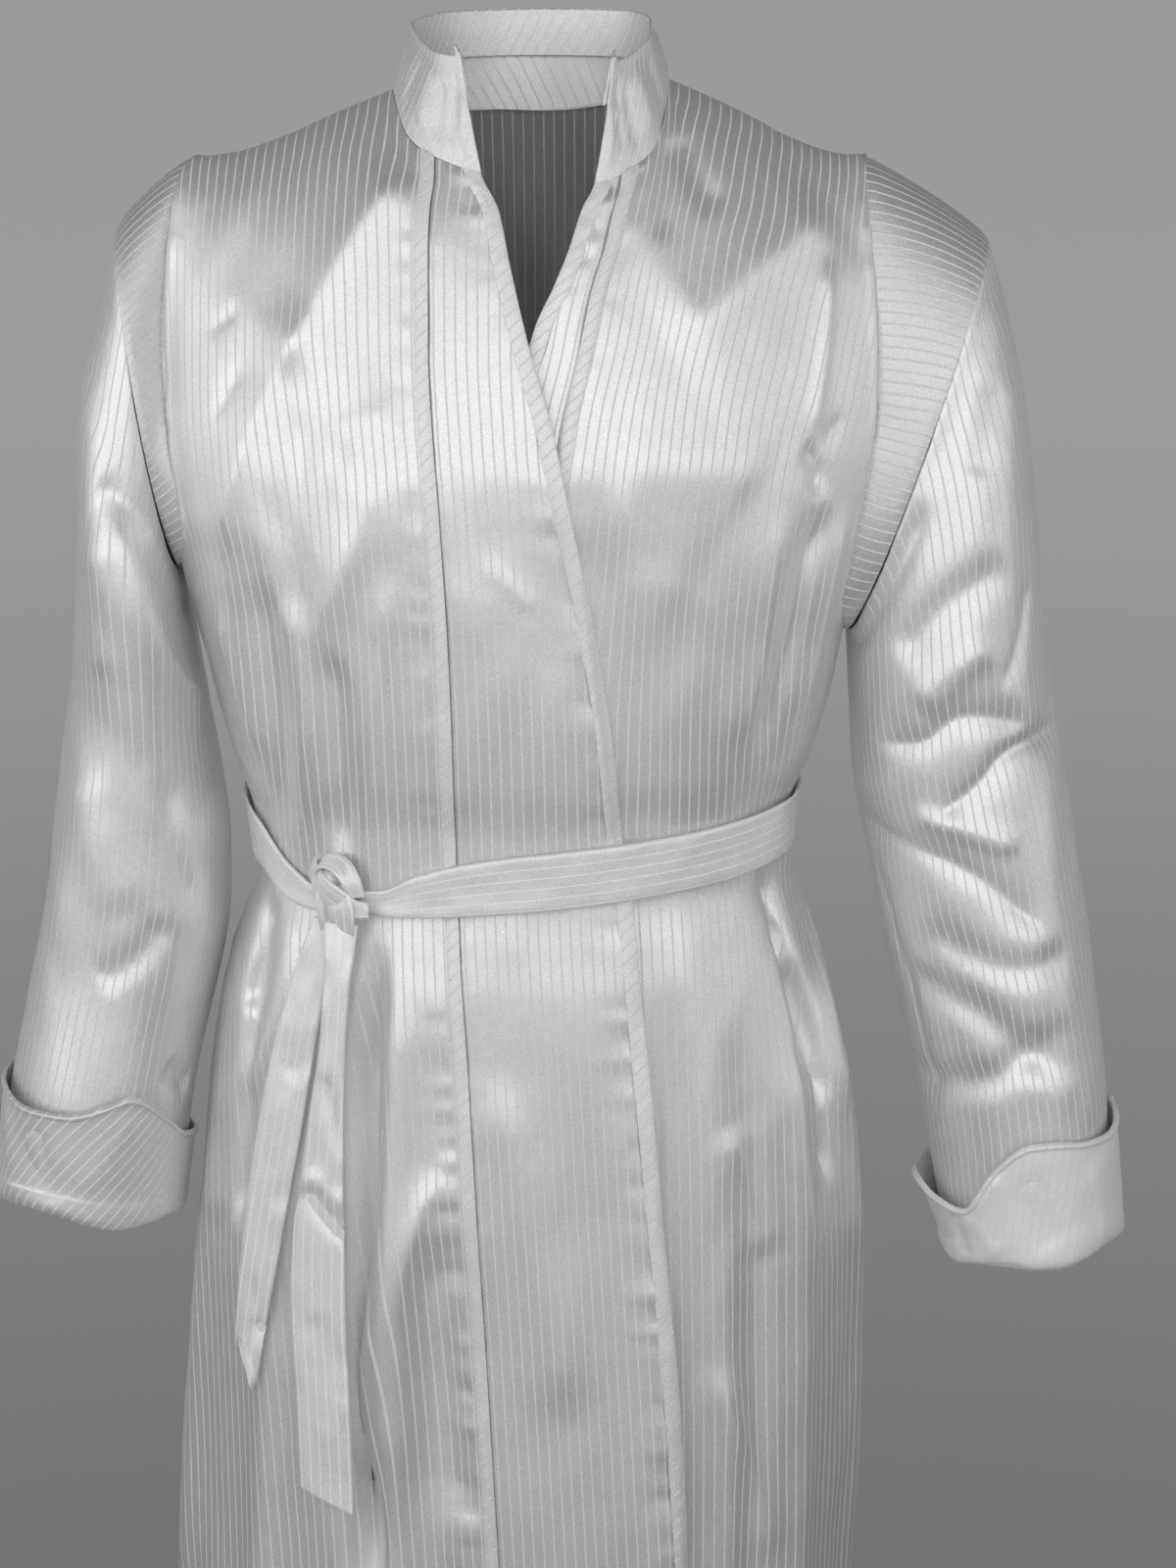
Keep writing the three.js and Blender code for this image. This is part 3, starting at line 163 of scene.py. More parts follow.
# creases of the fronts: points (x, z), depth, width on the left and on the right of
# the way along the line, and the radius of a sharp fold line (0 for a soft one)
FRONT_CREASES = [
    # wearer's right chest
    ([(-60, -22), (-83, -49), (-102, -77), (-126, -120), (-139, -146)], 6.5, 22, 13, 4),
    ([(-112, -100), (-126, -120), (-144, -151), (-159, -183), (-171, -221), (-176, -250)], 3.6, 22, 11, 2),
    ([(-126, -150), (-133, -195), (-138, -234), (-136, -286)], -3.4, 9, 14, 0),
    ([(-112, -174), (-100, -168), (-85, -162), (-75, -164), (-58, -177)], 2.0, 7, 10, 1.5),
    ([(-105, -188), (-88, -190), (-76, -196)], -1.3, 12, 10, 0),
    ([(-80, -183), (-93, -225), (-107, -268), (-114, -311)], 1.6, 6, 7, 2),
    ([(-97, -205), (-110, -259), (-123, -297), (-129, -354), (-133, -424)], 3.6, 13, 9, 3),
    ([(-77, -240), (-81, -283), (-87, -325), (-90, -383), (-97, -432)], 2.6, 7, 7, 2),
    ([(-153, -250), (-149, -306), (-142, -383), (-140, -410)], -4.0, 12, 9, 0),
    ([(-112, -290), (-109, -363), (-106, -425)], -4.0, 9, 9, 0),
    ([(-24, -240), (-8, -254), (7, -269)], 1.1, 2.5, 3, 0.6),
    ([(35, -220), (43, -287), (49, -344), (55, -402), (60, -440)], -4.5, 4, 12, 0),
    ([(52, -250), (95, -262), (120, -300), (122, -360)], 1.2, 12, 14, 1),
    ([(-180, -116), (-161, -103)], -1.2, 3, 3, 1),
    ([(-176, -163), (-166, -146), (-160, -133)], -1.6, 4, 3, 1),
    ([(-151, -209), (-140, -269), (-128, -331), (-125, -376)], 2.2, 9, 9, 0),
    ([(-180, -271), (-169, -315), (-157, -369)], 3.0, 9, 7, 2),
    # wearer's left chest
    ([(175, -44), (149, -69), (131, -82), (109, -101), (76, -121)], 6.0, 30, 18, 6),
    ([(173, -72), (170, -125), (163, -176)], 3.4, 6, 6, 1),
    ([(158, -178), (168, -194), (166, -208)], -4.2, 5, 5, 1),
    ([(170, -180), (177, -170), (184, -163)], -2.6, 4, 4, 1),
    ([(49, -183), (83, -185), (117, -188), (138, -199)], 3.0, 22, 26, 5),
    ([(177, -210), (163, -240), (156, -279), (144, -332), (138, -368)], -5.0, 9, 9, 0),
    ([(148, -209), (143, -252), (137, -305), (124, -358)], 2.2, 8, 6, 2),
    ([(188, -215), (176, -255), (168, -300), (156, -350)], 3.0, 7, 9, 2),
    ([(88, -5), (97, -30), (110, -51)], -2.2, 8, 8, 0),
    ([(84, -6), (80, -34), (77, -68)], -1.8, 5, 5, 0),
    # skirt
    ([(-71, -455), (-76, -536), (-79, -612), (-89, -699), (-97, -789), (-100, -850)], 5.2, 6, 10, 3),
    ([(-36, -585), (-55, -611), (-69, -642), (-81, -688), (-93, -740), (-102, -800)], 7.0, 8, 13, 2),
    ([(-49, -630), (-54, -688), (-50, -757), (-42, -828)], -6.0, 14, 14, 0),
    ([(-153, -450), (-164, -488), (-173, -525)], -6.0, 8, 8, 0),
    ([(-136, -449), (-151, -523), (-176, -580)], 3.8, 10, 10, 0),
    ([(-122, -457), (-128, -522), (-139, -598), (-155, -685)], 3.8, 8, 8, 3),
    ([(66, -465), (72, -481), (83, -575), (84, -632), (96, -730), (100, -900), (102, -1010)], -8.0, 4, 17, 0),
    ([(-19, -534), (1, -628), (19, -696), (28, -760)], 4.5, 16, 10, 4),
    ([(118, -577), (132, -625), (144, -668)], 3.3, 8, 10, 3),
    ([(107, -722), (124, -762), (144, -817), (150, -870)], 3.9, 10, 8, 3),
    ([(141, -424), (151, -458), (157, -491), (166, -529), (172, -570)], -10.5, 7, 8, 1),
    ([(159, -492), (173, -530), (184, -588)], -4.5, 6, 7, 0),
    ([(151, -419), (168, -465), (183, -532), (195, -600)], 5.2, 6, 8, 2),
    ([(144, -452), (159, -527), (165, -604), (176, -702)], 3.0, 6, 6, 2),
]

# broad hollow below the chest, across both fronts and the lap
CHEST_HOLLOW = [
    ([(-176, -240), (-120, -248), (-60, -252), (30, -256), (100, -258), (165, -250)], -6.8, 120, 92, 0),
]

# creases of the sleeves, in the same columns
SLEEVE_CREASES = {
    "right": [
        ([(-248, -203), (-227, -216), (-214, -227)], -3.0, 9, 12, 1),
        ([(-243, -208), (-232, -240), (-222, -276), (-210, -312), (-196, -350)], 5.6, 11, 24, 3),
        ([(-205, -262), (-198, -300), (-190, -336)], -2.6, 10, 9, 0),
        ([(-212, -372), (-208, -423), (-201, -465)], -4.0, 8, 8, 0),
        ([(-249, -227), (-246, -276), (-244, -321)], 1.6, 12, 12, 0),
        ([(-265, -370), (-257, -409), (-237, -460)], 2.2, 15, 15, 0),
        ([(-261, -499), (-233, -484), (-214, -460)], -3.0, 10, 10, 0),
        ([(-222, -556), (-211, -578)], -4.0, 8, 8, 0),
    ],
    "left": [
        ([(262, -68), (248, -102), (234, -140), (223, -179), (215, -210)], -4.0, 8, 14, 0),
        ([(271, -144), (264, -175), (260, -201)], -2.5, 12, 10, 0),
        ([(215, -308), (238, -278), (262, -260), (281, -249)], -4.0, 12, 12, 0),
        ([(228, -335), (248, -310), (270, -290)], 3.5, 10, 10, 0),
        ([(206, -358), (230, -353), (249, -339), (272, -338), (300, -345)], -5.5, 9, 10, 1),
        ([(236, -402), (266, -376), (285, -357), (318, -350)], -6.0, 9, 7, 1),
        ([(278, -326), (289, -294), (293, -258)], -2.0, 4, 4, 1),
        ([(200, -408), (232, -421), (262, -432), (292, -452), (318, -475)], -5.5, 10, 10, 1),
        ([(222, -399), (254, -404), (291, -418)], 3.0, 6, 8, 0),
        ([(233, -465), (270, -484), (300, -487), (325, -480)], -3.5, 11, 11, 0),
        ([(228, -498), (262, -514), (292, -532), (330, -560)], -5.0, 12, 11, 0),
        ([(240, -574), (268, -560), (292, -546), (328, -520)], -4.5, 11, 11, 0),
        ([(208, -423), (219, -465), (235, -518), (246, -568), (250, -590)], -2.6, 3.2, 3.2, 1),
        ([(225, -205), (213, -240), (198, -276), (193, -312)], -7.0, 12, 12, 0),
    ],
}

# sleeve rings: outer point, inner point, half depth, middle Y and front lift
SLEEVE = {
    "right": table("ox oz ix iz deep mid lift", [
        (-238, -56, -209, -260, 58, 0, 0),
        (-251, -104, -207, -276, 64, 0, 0),
        (-264, -150, -205, -294, 70, 0, 0),
        (-268, -202, -202, -320, 74, 0, 0),
        (-271, -256, -198, -350, 75, 2, 0),
        (-276, -312, -192, -386, 74, 2, 0),
        (-284, -364, -187, -425, 73, -3, 2),
        (-292, -416, -187, -466, 71, -9, 4),
        (-300, -470, -194, -510, 69, -15, 6),
        (-310, -526, -204, -556, 67, -20, 9),
        (-321, -582, -213, -604, 65, -25, 12),
        (-329, -640, -221, -656, 63, -29, 14),
    ]),
    "left": table("ox oz ix iz deep mid lift", [
        (270, -64, 193, -297, 62, 0, 0),
        (284, -110, 194, -316, 68, 0, 0),
        (296, -168, 195, -342, 74, 0, 0),
        (304, -226, 197, -376, 76, 0, 0),
        (311, -284, 203, -414, 76, 0, 0),
        (319, -340, 213, -454, 75, -2, 0),
        (329, -398, 223, -496, 73, -7, 3),
        (339, -456, 234, -540, 71, -13, 6),
        (349, -516, 244, -586, 69, -18, 9),
        (356, -574, 253, -630, 67, -23, 12),
        (361, -660, 262, -682, 64, -30, 15),
    ]),
}
SLEEVE_POWER = 2.1
# how far the middle of each sleeve sits back
SLEEVE_BACK = {"right": 8, "left": 0}
# weight of the way along a sleeve against the way round it, for its large folds
SLEEVE_ASPECT = 0.55
ARMHOLE_GAP = 0.4
# how much the stripe of the armhole bands leans
BAND_STRIPE_SLANT = {"right": 0.16, "left": 0.42}

# large folds at the back of the sleeves: angle 0 on the outer line, 90 at the front
SLEEVE_FOLDS = {
    "right": table("a1 t1 a2 t2 half depth", [
        (220, 0.25, 300, 0.5, 0.05, -5),
        (210, 0.55, 300, 0.75, 0.05, 4),
    ]),
    "left": table("a1 t1 a2 t2 half depth", [
        (220, 0.2, 290, 0.45, 0.05, -5),
        (230, 0.5, 300, 0.72, 0.05, 4),
    ]),
}

# turned back cuffs by angle: heights of the top and bottom edges above the
# wrist end, flare of the top edge and distance of the lower part off the sleeve
CUFF = {
    "right": table("angle top flare hug low", [
        (0, 82, 3, 3, 1), (30, 76, 6, 3, 5), (60, 69, 8, 3, 6), (84, 71, 8, 3, 4),
        (100, 80, 8, 3, 0), (116, 90, 7, 3, -2), (140, 77, 5, 3, 2), (165, 63, 2.5, 2.6, 6),
        (205, 60, 2.5, 2.6, 6), (270, 66, 8, 3, 4), (360, 82, 3, 3, 1),
    ]),
    "left": table("angle top flare hug low", [
        (0, 64, 4, 8, -5), (36, 57, 6, 6, -1), (60, 61, 6, 5, -4.5), (84, 72, 6, 5, -8),
        (98, 78, 6, 5, -7), (115, 70, 5, 5, -3), (137, 46, 7, 4, -1.5), (158, 60, 10, 3, -2),
        (180, 77, 12, 2.6, 6), (215, 74, 10, 2.6, 5), (270, 66, 8, 3, 0), (360, 64, 5, 7, -5),
    ]),
}

# top edge of the standing collar, from the wearer's right end to the left end
COLLAR_TOP = table("turn x y z", [
    (0, -35, -58, 34), (0.07, -48, -48, 37), (0.16, -60, -26, 46), (0.26, -64, 2, 56),
    (0.38, -48, 34, 64), (0.5, 4, 50, 67), (0.62, 56, 34, 65), (0.74, 73, 2, 57),
    (0.84, 70, -26, 48), (0.93, 60, -46, 36), (1, 51, -58, 31),
])

# middle height and width of the belt round the waist, by wrap angle
BELT = table("a z wide", [
    (-180, -402, 35), (-135, -405, 35), (-90, -412, 35), (-70, -421, 32), (-56, -438, 22),
    (-45, -445, 14), (-36, -443, 12), (-29, -443, 15), (-20, -437, 26), (-8, -431, 33),
    (4, -427, 35), (40, -418, 35), (90, -408, 35), (135, -403, 35), (180, -402, 35),
])
BELT_WALL = 2.6
BELT_CLEAR = 2.8
# length of the belt's cloth, its sweep round the waist in degrees and its steps
BELT_ROUND = 1050
BELT_SWEEP = 354
BELT_STEPS = 420
BELT_HALF = 17.5
KNOT_ANGLE = -36.3
KNOT_LIFT = 10

# hanging belt ends: middle X, width, height and distance off the robe
END_FRONT = table("z x wide off", [
    (-454, -99, 22, 14), (-490, -103, 17, 13), (-530, -107, 17, 12), (-567, -111, 22, 11),
    (-610, -115, 28, 10), (-645, -118, 34, 9), (-689, -119, 36, 9), (-749, -117, 35, 9), (-808, -116, 35, 9),
])
END_BACK = table("z x wide off", [
    (-454, -112, 16, 8), (-485, -122, 22, 6), (-531, -133, 28, 5), (-593, -143, 30, 5),
    (-654, -152, 27, 5), (-716, -161, 20, 5), (-765, -163, 7, 5),
])

# share of the robe's own turn that the hanging ends follow
END_TURN = 0.55
# creases of the ends, as on the fronts
END_CREASES_FRONT = [
    ([(-132, -610), (-122, -628), (-108, -642), (-98, -648)], -4.5, 4, 10, 1),
    ([(-130, -600), (-120, -612), (-104, -622)], 2.5, 8, 6, 0),
    ([(-120, -540), (-112, -575), (-104, -596)], -2.0, 5, 5, 0),
    ([(-132, -690), (-115, -712), (-101, -720)], -1.6, 9, 9, 0),
    ([(-104, -740), (-118, -760), (-130, -764)], 1.6, 9, 9, 0),
]
END_CREASES_BACK = [
    ([(-118, -520), (-130, -540), (-146, -550)], -1.8, 6, 6, 0),
    ([(-128, -600), (-142, -620), (-160, -624)], -1.8, 8, 8, 0),
    ([(-142, -690), (-156, -706), (-170, -704)], -3.0, 3, 8, 1),
]

# strands of the knot: middle line and the line across it, as steps to the wearer's
# left, up and outwards from the knot's middle, and the width
KNOT_STRANDS = [
    # the loop that curls over the top
    ([(-2, -14, 1), (-14, -10, 3), (-20, 0, 4), (-18, 9, 5), (-9, 14, 6), (1, 12, 6), (7, 4, 5), (9, -6, 2)],
     [(0.2, 0.1, 1), (0.3, 0.1, 1), (0.4, -0.1, 1), (0.3, -0.4, 1), (0, -0.6, 1),
      (-0.3, -0.5, 1), (-0.5, -0.2, 1), (-0.6, 0, 1)],
     [(-0.4, -1, 0.2), (-1, -0.6, 0.3), (-1, 0.1, 0.3), (-0.8, 0.8, 0.4), (0, 1, 0.5), (0.7, 0.8, 0.4),
      (1, 0.2, 0.4), (1, -0.1, 0.4)],
     (12, 14, 14, 13, 13, 13, 12, 10)),
    # the curl inside it
    ([(0, -10, 4), (-9, -7, 6), (-14, 0, 7), (-12, 6, 8), (-6, 8, 8), (-2, 4, 7), (-3, -2, 5)],
     [(0.1, 0, 1), (0.2, 0, 1), (0.3, -0.2, 1), (0.2, -0.4, 1), (0, -0.5, 1), (-0.3, -0.3, 1), (-0.3, 0, 1)],
     [(-0.3, -1, 0.3), (-0.8, -0.7, 0.3), (-1, 0.1, 0.3), (-0.7, 0.8, 0.4), (0.2, 1, 0.4), (1, 0.4, 0.3),
      (1, -0.3, 0.3)],
     (10, 11, 11, 10, 10, 9, 8)),
    # the strand over the front
    ([(-17, 5, 6), (-12, 3, 11), (-4, -2, 13), (5, -7, 12), (13, -11, 9), (19, -12, 4)],
     [(0.5, 0.8, 0), (0.5, 0.85, 0), (0.5, 0.86, 0), (0.4, 0.9, 0), (0.1, 1, 0), (-0.1, 1, 0)],
     [(-0.7, 0.2, 0.8), (-0.3, 0.2, 1), (0, 0.15, 1), (0.2, 0.1, 1), (0.5, 0, 1), (0.8, 0, 0.6)],
     (9, 12, 15, 15, 12, 9)),
    # where the front end leaves it
    ([(-2, 0, 8), (3, -6, 11), (5, -13, 12), (5, -22, 11), (4, -30, 9)],
     [(1, 0.35, 0), (1, 0.3, 0), (1, 0.1, 0), (1, 0, 0), (1, 0, 0)],
     [(0, 0.6, 1), (0.1, 0.3, 1), (0.2, 0, 1), (0.2, 0, 1), (0.1, 0, 1)],
     (16, 19, 20, 18, 16)),
    # the shaded strand beside it
    ([(-9, 0, 8), (-9, -8, 10), (-9, -18, 9), (-9, -28, 6)],
     [(0.7, 0, -0.7), (0.7, 0, -0.7), (0.6, 0, -0.8), (0.6, 0, -0.8)],
     [(-0.7, 0.3, 0.7), (-0.7, 0, 0.7), (-0.8, 0, 0.6), (-0.8, 0, 0.6)],
     (9, 11, 11, 10)),
    # the belt as it comes in from the wearer's right, folded narrow
    ([(-30, 6, -3), (-24, 3, 2), (-16, -2, 6), (-8, -6, 7), (0, -9, 6)],
     [(0.4, 0.9, 0), (0.4, 0.9, 0), (0.4, 0.9, 0), (0.3, 0.95, 0), (0.2, 1, 0)],
     [(-0.3, 0.3, 1), (-0.3, 0.3, 1), (-0.2, 0.2, 1), (0, 0.1, 1), (0.1, 0, 1)],
     (13, 13, 12, 12, 10)),
]

# creases of the cuffs: points (angle round the arm, height)
CUFF_CREASES = {
    "right": [
        ([(118, 82), (110, 50), (92, 20)], 2.0, 12, 9, 1),
        ([(60, 60), (70, 34), (84, 10)], -1.6, 9, 9, 0),
        ([(36, 66), (44, 36), (52, 8)], 1.6, 8, 8, 0),
        ([(140, 64), (132, 34), (126, 10)], -2.0, 8, 8, 0),
    ],
    "left": [
        ([(137, 44), (128, 26), (118, 4)], 2.4, 9, 12, 1),
        ([(112, 66), (122, 52), (134, 44)], 2.0, 4, 9, 1),
        ([(100, 60), (92, 30), (84, 4)], -1.8, 12, 12, 0),
        ([(60, 50), (52, 26), (50, 0)], 2.2, 10, 10, 1),
        ([(150, 44), (146, 24), (142, 6)], -1.6, 6, 6, 0),
    ],
}

# rows of the collar as shares of its height, and its height in flat cloth
COLLAR_ROWS = np.concatenate([np.linspace(0, 0.86, 22), np.linspace(0.89, 1, 6)])
COLLAR_CLOTH = 40
COLLAR_STEPS = 220
# creases near the collar's ends: points (distance from the end, height)
COLLAR_CREASES = [
    ([(8, 36), (12, 22), (19, 6)], -1.7, 4, 4, 1),
    ([(3, 28), (6, 15), (5, 3)], 1.2, 3, 3, 0),
    ([(21, 32), (24, 18), (31, 6)], -1.5, 5, 5, 0),
    ([(34, 36), (40, 20), (44, 8)], 1.4, 6, 6, 0),
    ([(52, 34), (60, 20), (66, 6)], -1.5, 6, 6, 0),
]

# seeds of the puckers and of the small wrinkles
FRONT_SEED = {"right": 40, "left": 60}
WRINKLE_SEED = {
    ("front", "right"): 11, ("front", "left"): 23, "back": 77, ("sleeve", "right"): 131,
    ("sleeve", "left"): 151, ("cuff", "right"): 201, ("cuff", "left"): 221,
}


def read(source, key, name, value):
    """Smooth reading of a table column, with no overshoot between rows."""
    xs, ys = source[key], source[name]
    if xs[-1] < xs[0]:
        xs, ys = xs[::-1], ys[::-1]
    slope = np.diff(ys) / np.diff(xs)
    before, after = slope[:-1], slope[1:]
    total = np.where(before + after == 0, 1, before + after)
    inner = np.where(before * after <= 0, 0, 2 * before * after / total)
    tangent = np.concatenate([slope[:1], inner, slope[-1:]])
    v = np.clip(value, xs[0], xs[-1])
    i = np.clip(np.searchsorted(xs, v, side="right") - 1, 0, len(xs) - 2)
    span = xs[i + 1] - xs[i]
    t = (v - xs[i]) / span
    return (
        ys[i] * (2 * t**3 - 3 * t**2 + 1) + tangent[i] * span * (t**3 - 2 * t**2 + t)
        + ys[i + 1] * (3 * t**2 - 2 * t**3) + tangent[i + 1] * span * (t**3 - t**2)
    )


def ease(t):
    t = np.clip(t, 0, 1)
    return t * t * (3 - 2 * t)


def mix(a, b, t):
    return a + (b - a) * t


def unit(v):
    size = np.linalg.norm(v, axis=-1, keepdims=True)
    return v / np.where(size < 1e-9, 1, size)


def bell(distance, half):
    """1 on a line, falling away softly beside it."""
    return np.exp(-((distance / half) ** 2))


def running(steps, axis=0):
    """Running total along an axis, from zero."""
    zero = np.zeros_like(np.take(steps, [0], axis))
    return np.concatenate([zero, np.cumsum(steps, axis=axis)], axis=axis)


def path_lengths(points):
    return running(np.linalg.norm(np.diff(points, axis=0), axis=1))


def smooth_path(points, parts):
    """Catmull-Rom curve through points, parts steps between each two."""
    points = np.asarray(points, float)
    if len(points) < 3:
        t = np.linspace(0, 1, parts * (len(points) - 1) + 1)
        return points[0] + (points[-1] - points[0]) * t[:, None]
    padded = np.concatenate([[2 * points[0] - points[1]], points, [2 * points[-1] - points[-2]]])
    result = []
    for n in range(len(points) - 1):
        p0, p1, p2, p3 = padded[n:n + 4]
        for t in np.arange(parts) / parts:
            result.append(0.5 * (2 * p1 + (p2 - p0) * t + (2 * p0 - 5 * p1 + 4 * p2 - p3) * t**2
                                 + (3 * p1 - p0 - 3 * p2 + p3) * t**3))
    result.append(points[-1])
    return np.array(result)


def soft_noise(u, v, seed):
    """Smooth seeded noise between -1 and 1 on a lattice of unit cells."""
    lattice = np.random.default_rng(seed).uniform(-1, 1, (64, 64))
    i, j = np.floor(u).astype(int), np.floor(v).astype(int)
    fu, fv = ease(u - i), ease(v - j)
    at = lambda p, q: lattice[(i + p) % 64, (j + q) % 64]
    return mix(mix(at(0, 0), at(1, 0), fu), mix(at(0, 1), at(1, 1), fu), fv)


# body of the robe

def half_width(negative, z):
    """Half width of the robe on the wearer's right (negative) or left."""
    return np.where(negative, read(BODY, "z", "right", z), read(BODY, "z", "left", z))


def angle_of(x, z):
    """Wrap angle in degrees of a point x on the front at height z."""
    share = np.minimum(1, np.abs(x) / half_width(x < 0, z))
    return np.sign(x) * np.degrees(np.arcsin(share ** (read(BODY, "z", "power", z) / 2)))


def large_folds(a, z):
    total = np.zeros(np.broadcast(a, z).shape)
    for a1, z1, a2, z2, bow, half, depth in zip(*BODY_FOLDS.values()):
        turn = (a - a1 + 180) % 360 - 180
        ux, uz = (a2 - a1) * DEGREE_MM, z2 - z1
        size = math.hypot(ux, uz)
        px, pz = turn * DEGREE_MM, z - z1
        t = (px * ux + pz * uz) / size**2
        off = (px * uz - pz * ux) / size - bow * 4 * t * (1 - t)
        fade = ease(t / 0.2) * ease((1 - t) / 0.15) * ((t > 0) & (t < 1))
        total += depth * bell(off, half) * fade
    return total


def robe_point(a, z, lap, folds):
    """Point of the robe at a wrap angle and height; 180 is the centre back."""
    sign = np.where(a < 0, -1.0, 1.0)
    power = read(BODY, "z", "power", z)
    behind = np.abs(a) > 90
    turn = np.radians(np.where(behind, 180 - np.minimum(180, np.abs(a)), np.abs(a)))
    x = sign * half_width(a < 0, z) * np.sin(turn) ** (2 / power)
    flat = np.maximum(0, np.cos(turn)) ** (2 / power)
    below = below_shoulder(x, z)
    over_back = np.sqrt(np.maximum(0, 1 - (1 - np.minimum(1, below / BACK_SLOPE)) ** 1.8))
    over_front = np.sqrt(np.maximum(0, 1 - (1 - np.minimum(1, below / FRONT_SLOPE)) ** 1.6))
    back, front = (read(BODY, "z", name, z) for name in ("back", "front"))
    y = np.where(behind, back * over_back, -front * over_front) * flat
    push = folds * np.minimum(1, below / 60) + lap
    way = np.where(behind, 1.0, -1.0)
    return np.stack([x + sign * np.sin(turn) * push, y + way * np.cos(turn) * push, z + 0 * x], -1)


def folded_point(a, z):
    return robe_point(a, z, 0 * a, large_folds(a, z))


def below_shoulder(x, z):
    return np.maximum(0, read(SHOULDER, "x", "z", x) - z)


def lap_of(x, z):
    """How far the left front sits in below the right one."""
    right_edge = read(FRONT["right"], "z", "edge", z)
    return -LAP_DEPTH * ease((right_edge + LAP_EASE - x) / LAP_EASE)


def line_x(side, w, z):
    """X of the lines down a front: 0 free edge, 1 binding, 2 band seam, 3 strip."""
    out = OUT[side]
    edge = read(FRONT[side], "z", "edge", z)
    seam = read(FRONT[side], "z", "seam", z)
    binding = edge + out * np.minimum(BINDING_WIDTH, 0.6 * np.abs(seam - edge))
    first = mix(edge, binding, np.clip(w, 0, 1))
    second = mix(binding, seam, np.clip(w - 1, 0, 1))
    third = seam + out * STRIP_WIDTH * np.clip(w - 2, 0, 1)
    return np.where(w <= 1, first, np.where(w <= 2, second, third))


def arc_table(half_name, depth_name):
    """Lengths across the cloth from its centre line, by height and wrap angle."""
    half, depth, power = (read(BODY, "z", n, ARC_Z[:, None]) for n in (half_name, depth_name, "power"))
    turn = np.radians(ARC_A)[None, :]
    x = half * np.sin(turn) ** (2 / power)
    y = depth * np.maximum(0, np.cos(turn)) ** (2 / power)
    return running(np.hypot(np.diff(x, axis=1), np.diff(y, axis=1)), 1)


ARC_STEP = 10.0
ARC_Z = np.arange(HEM_Z - 10, 75, ARC_STEP)
ARC_A = np.linspace(0, 90, 181)
ARCS = {(side, face): arc_table(side, face) for side in SIDES for face in ("front", "back")}


def across_cloth(face, a, z):
    """Signed distance across the cloth from the centre of the front or back."""
    turn, z = np.broadcast_arrays(np.clip(np.abs(a), 0, 90), z)
    row = np.clip((z - ARC_Z[0]) / ARC_STEP, 0, len(ARC_Z) - 1.001)
    col = np.clip(turn * 2, 0, 179.999)
    i, j = row.astype(int), col.astype(int)
    p, q = row - i, col - j
    right, left = (
        mix(mix(arcs[i, j], arcs[i + 1, j], p), mix(arcs[i, j + 1], arcs[i + 1, j + 1], p), q)
        for arcs in (ARCS["right", face], ARCS["left", face])
    )
    return np.where(a < 0, -right, left)


# grids of the fronts and the back

UPPER_STEPS = 76
LOWER_STEPS = 270
LOWER_ROWS = 15
BAND_LINES = np.concatenate([np.linspace(0, 1, 5)[:-1], np.linspace(1, 2, 19)[:-1], np.linspace(2, 3, 6)])
BINDING_LINE = 4
SEAM_LINE = 22
STRIP_LINES = 5
PANEL_STEPS = 84
BACK_STEPS = 168

# row steps: 0 at the shoulder, 1 at the armpit, then down to the hem
ROW_STEPS = np.concatenate([
    np.linspace(0, 1, UPPER_STEPS + 1), 1 + np.linspace(0, LOWER_ROWS, LOWER_STEPS + 1)[1:],
])[:, None]
ON_ARMHOLE = ease((1 - ROW_STEPS) / 0.06)


def row_height(top, armpit, share):
    step = ROW_STEPS
    even = (1 - np.cos(np.pi * np.minimum(step, 1))) / 2
    early = 1 - np.cos(np.pi * np.minimum(step, 1) / 2)
    upper = mix(top, armpit, mix(early, even, share**2))
    return np.where(step <= 1, upper, mix(armpit, HEM_Z, (step - 1) / LOWER_ROWS))


def column_angle(inner, name, top_share, share):
    """Wrap angle of the columns: only the outer ones follow the armhole's curve."""
    step = ROW_STEPS
    edge = np.where(step < 1, read(ARMHOLE, "step", name, np.minimum(step, 1)), 90)
    spread = np.where(share == 1, 1, mix(top_share, share, ease(step / 0.9)))
    below = np.minimum(90, ARMPIT_CALM + (step - 1) * 4)
    calm = np.where(step < 1, mix(SHOULDER_CALM, ARMPIT_CALM, step), below)
    steady = np.minimum(edge, calm)
    return inner + (steady - inner) * spread + (edge - steady) * spread**6


def shoulder_top(share, start, neck, end, bow, seam):
    """Top row of a panel: along the neck seam, then along the shoulder ridge."""
    on_neck = share < NECK_SHARE
    neck_way = 1 - (1 - np.minimum(1, share / NECK_SHARE)) ** bow
    ridge_way = np.maximum(0, share - NECK_SHARE) / (1 - NECK_SHARE)
    x = np.where(on_neck, mix(start, neck, neck_way), mix(neck, end, ridge_way))
    return x, np.where(on_neck, read(seam, "x", "z", x), read(SHOULDER, "x", "z", x))


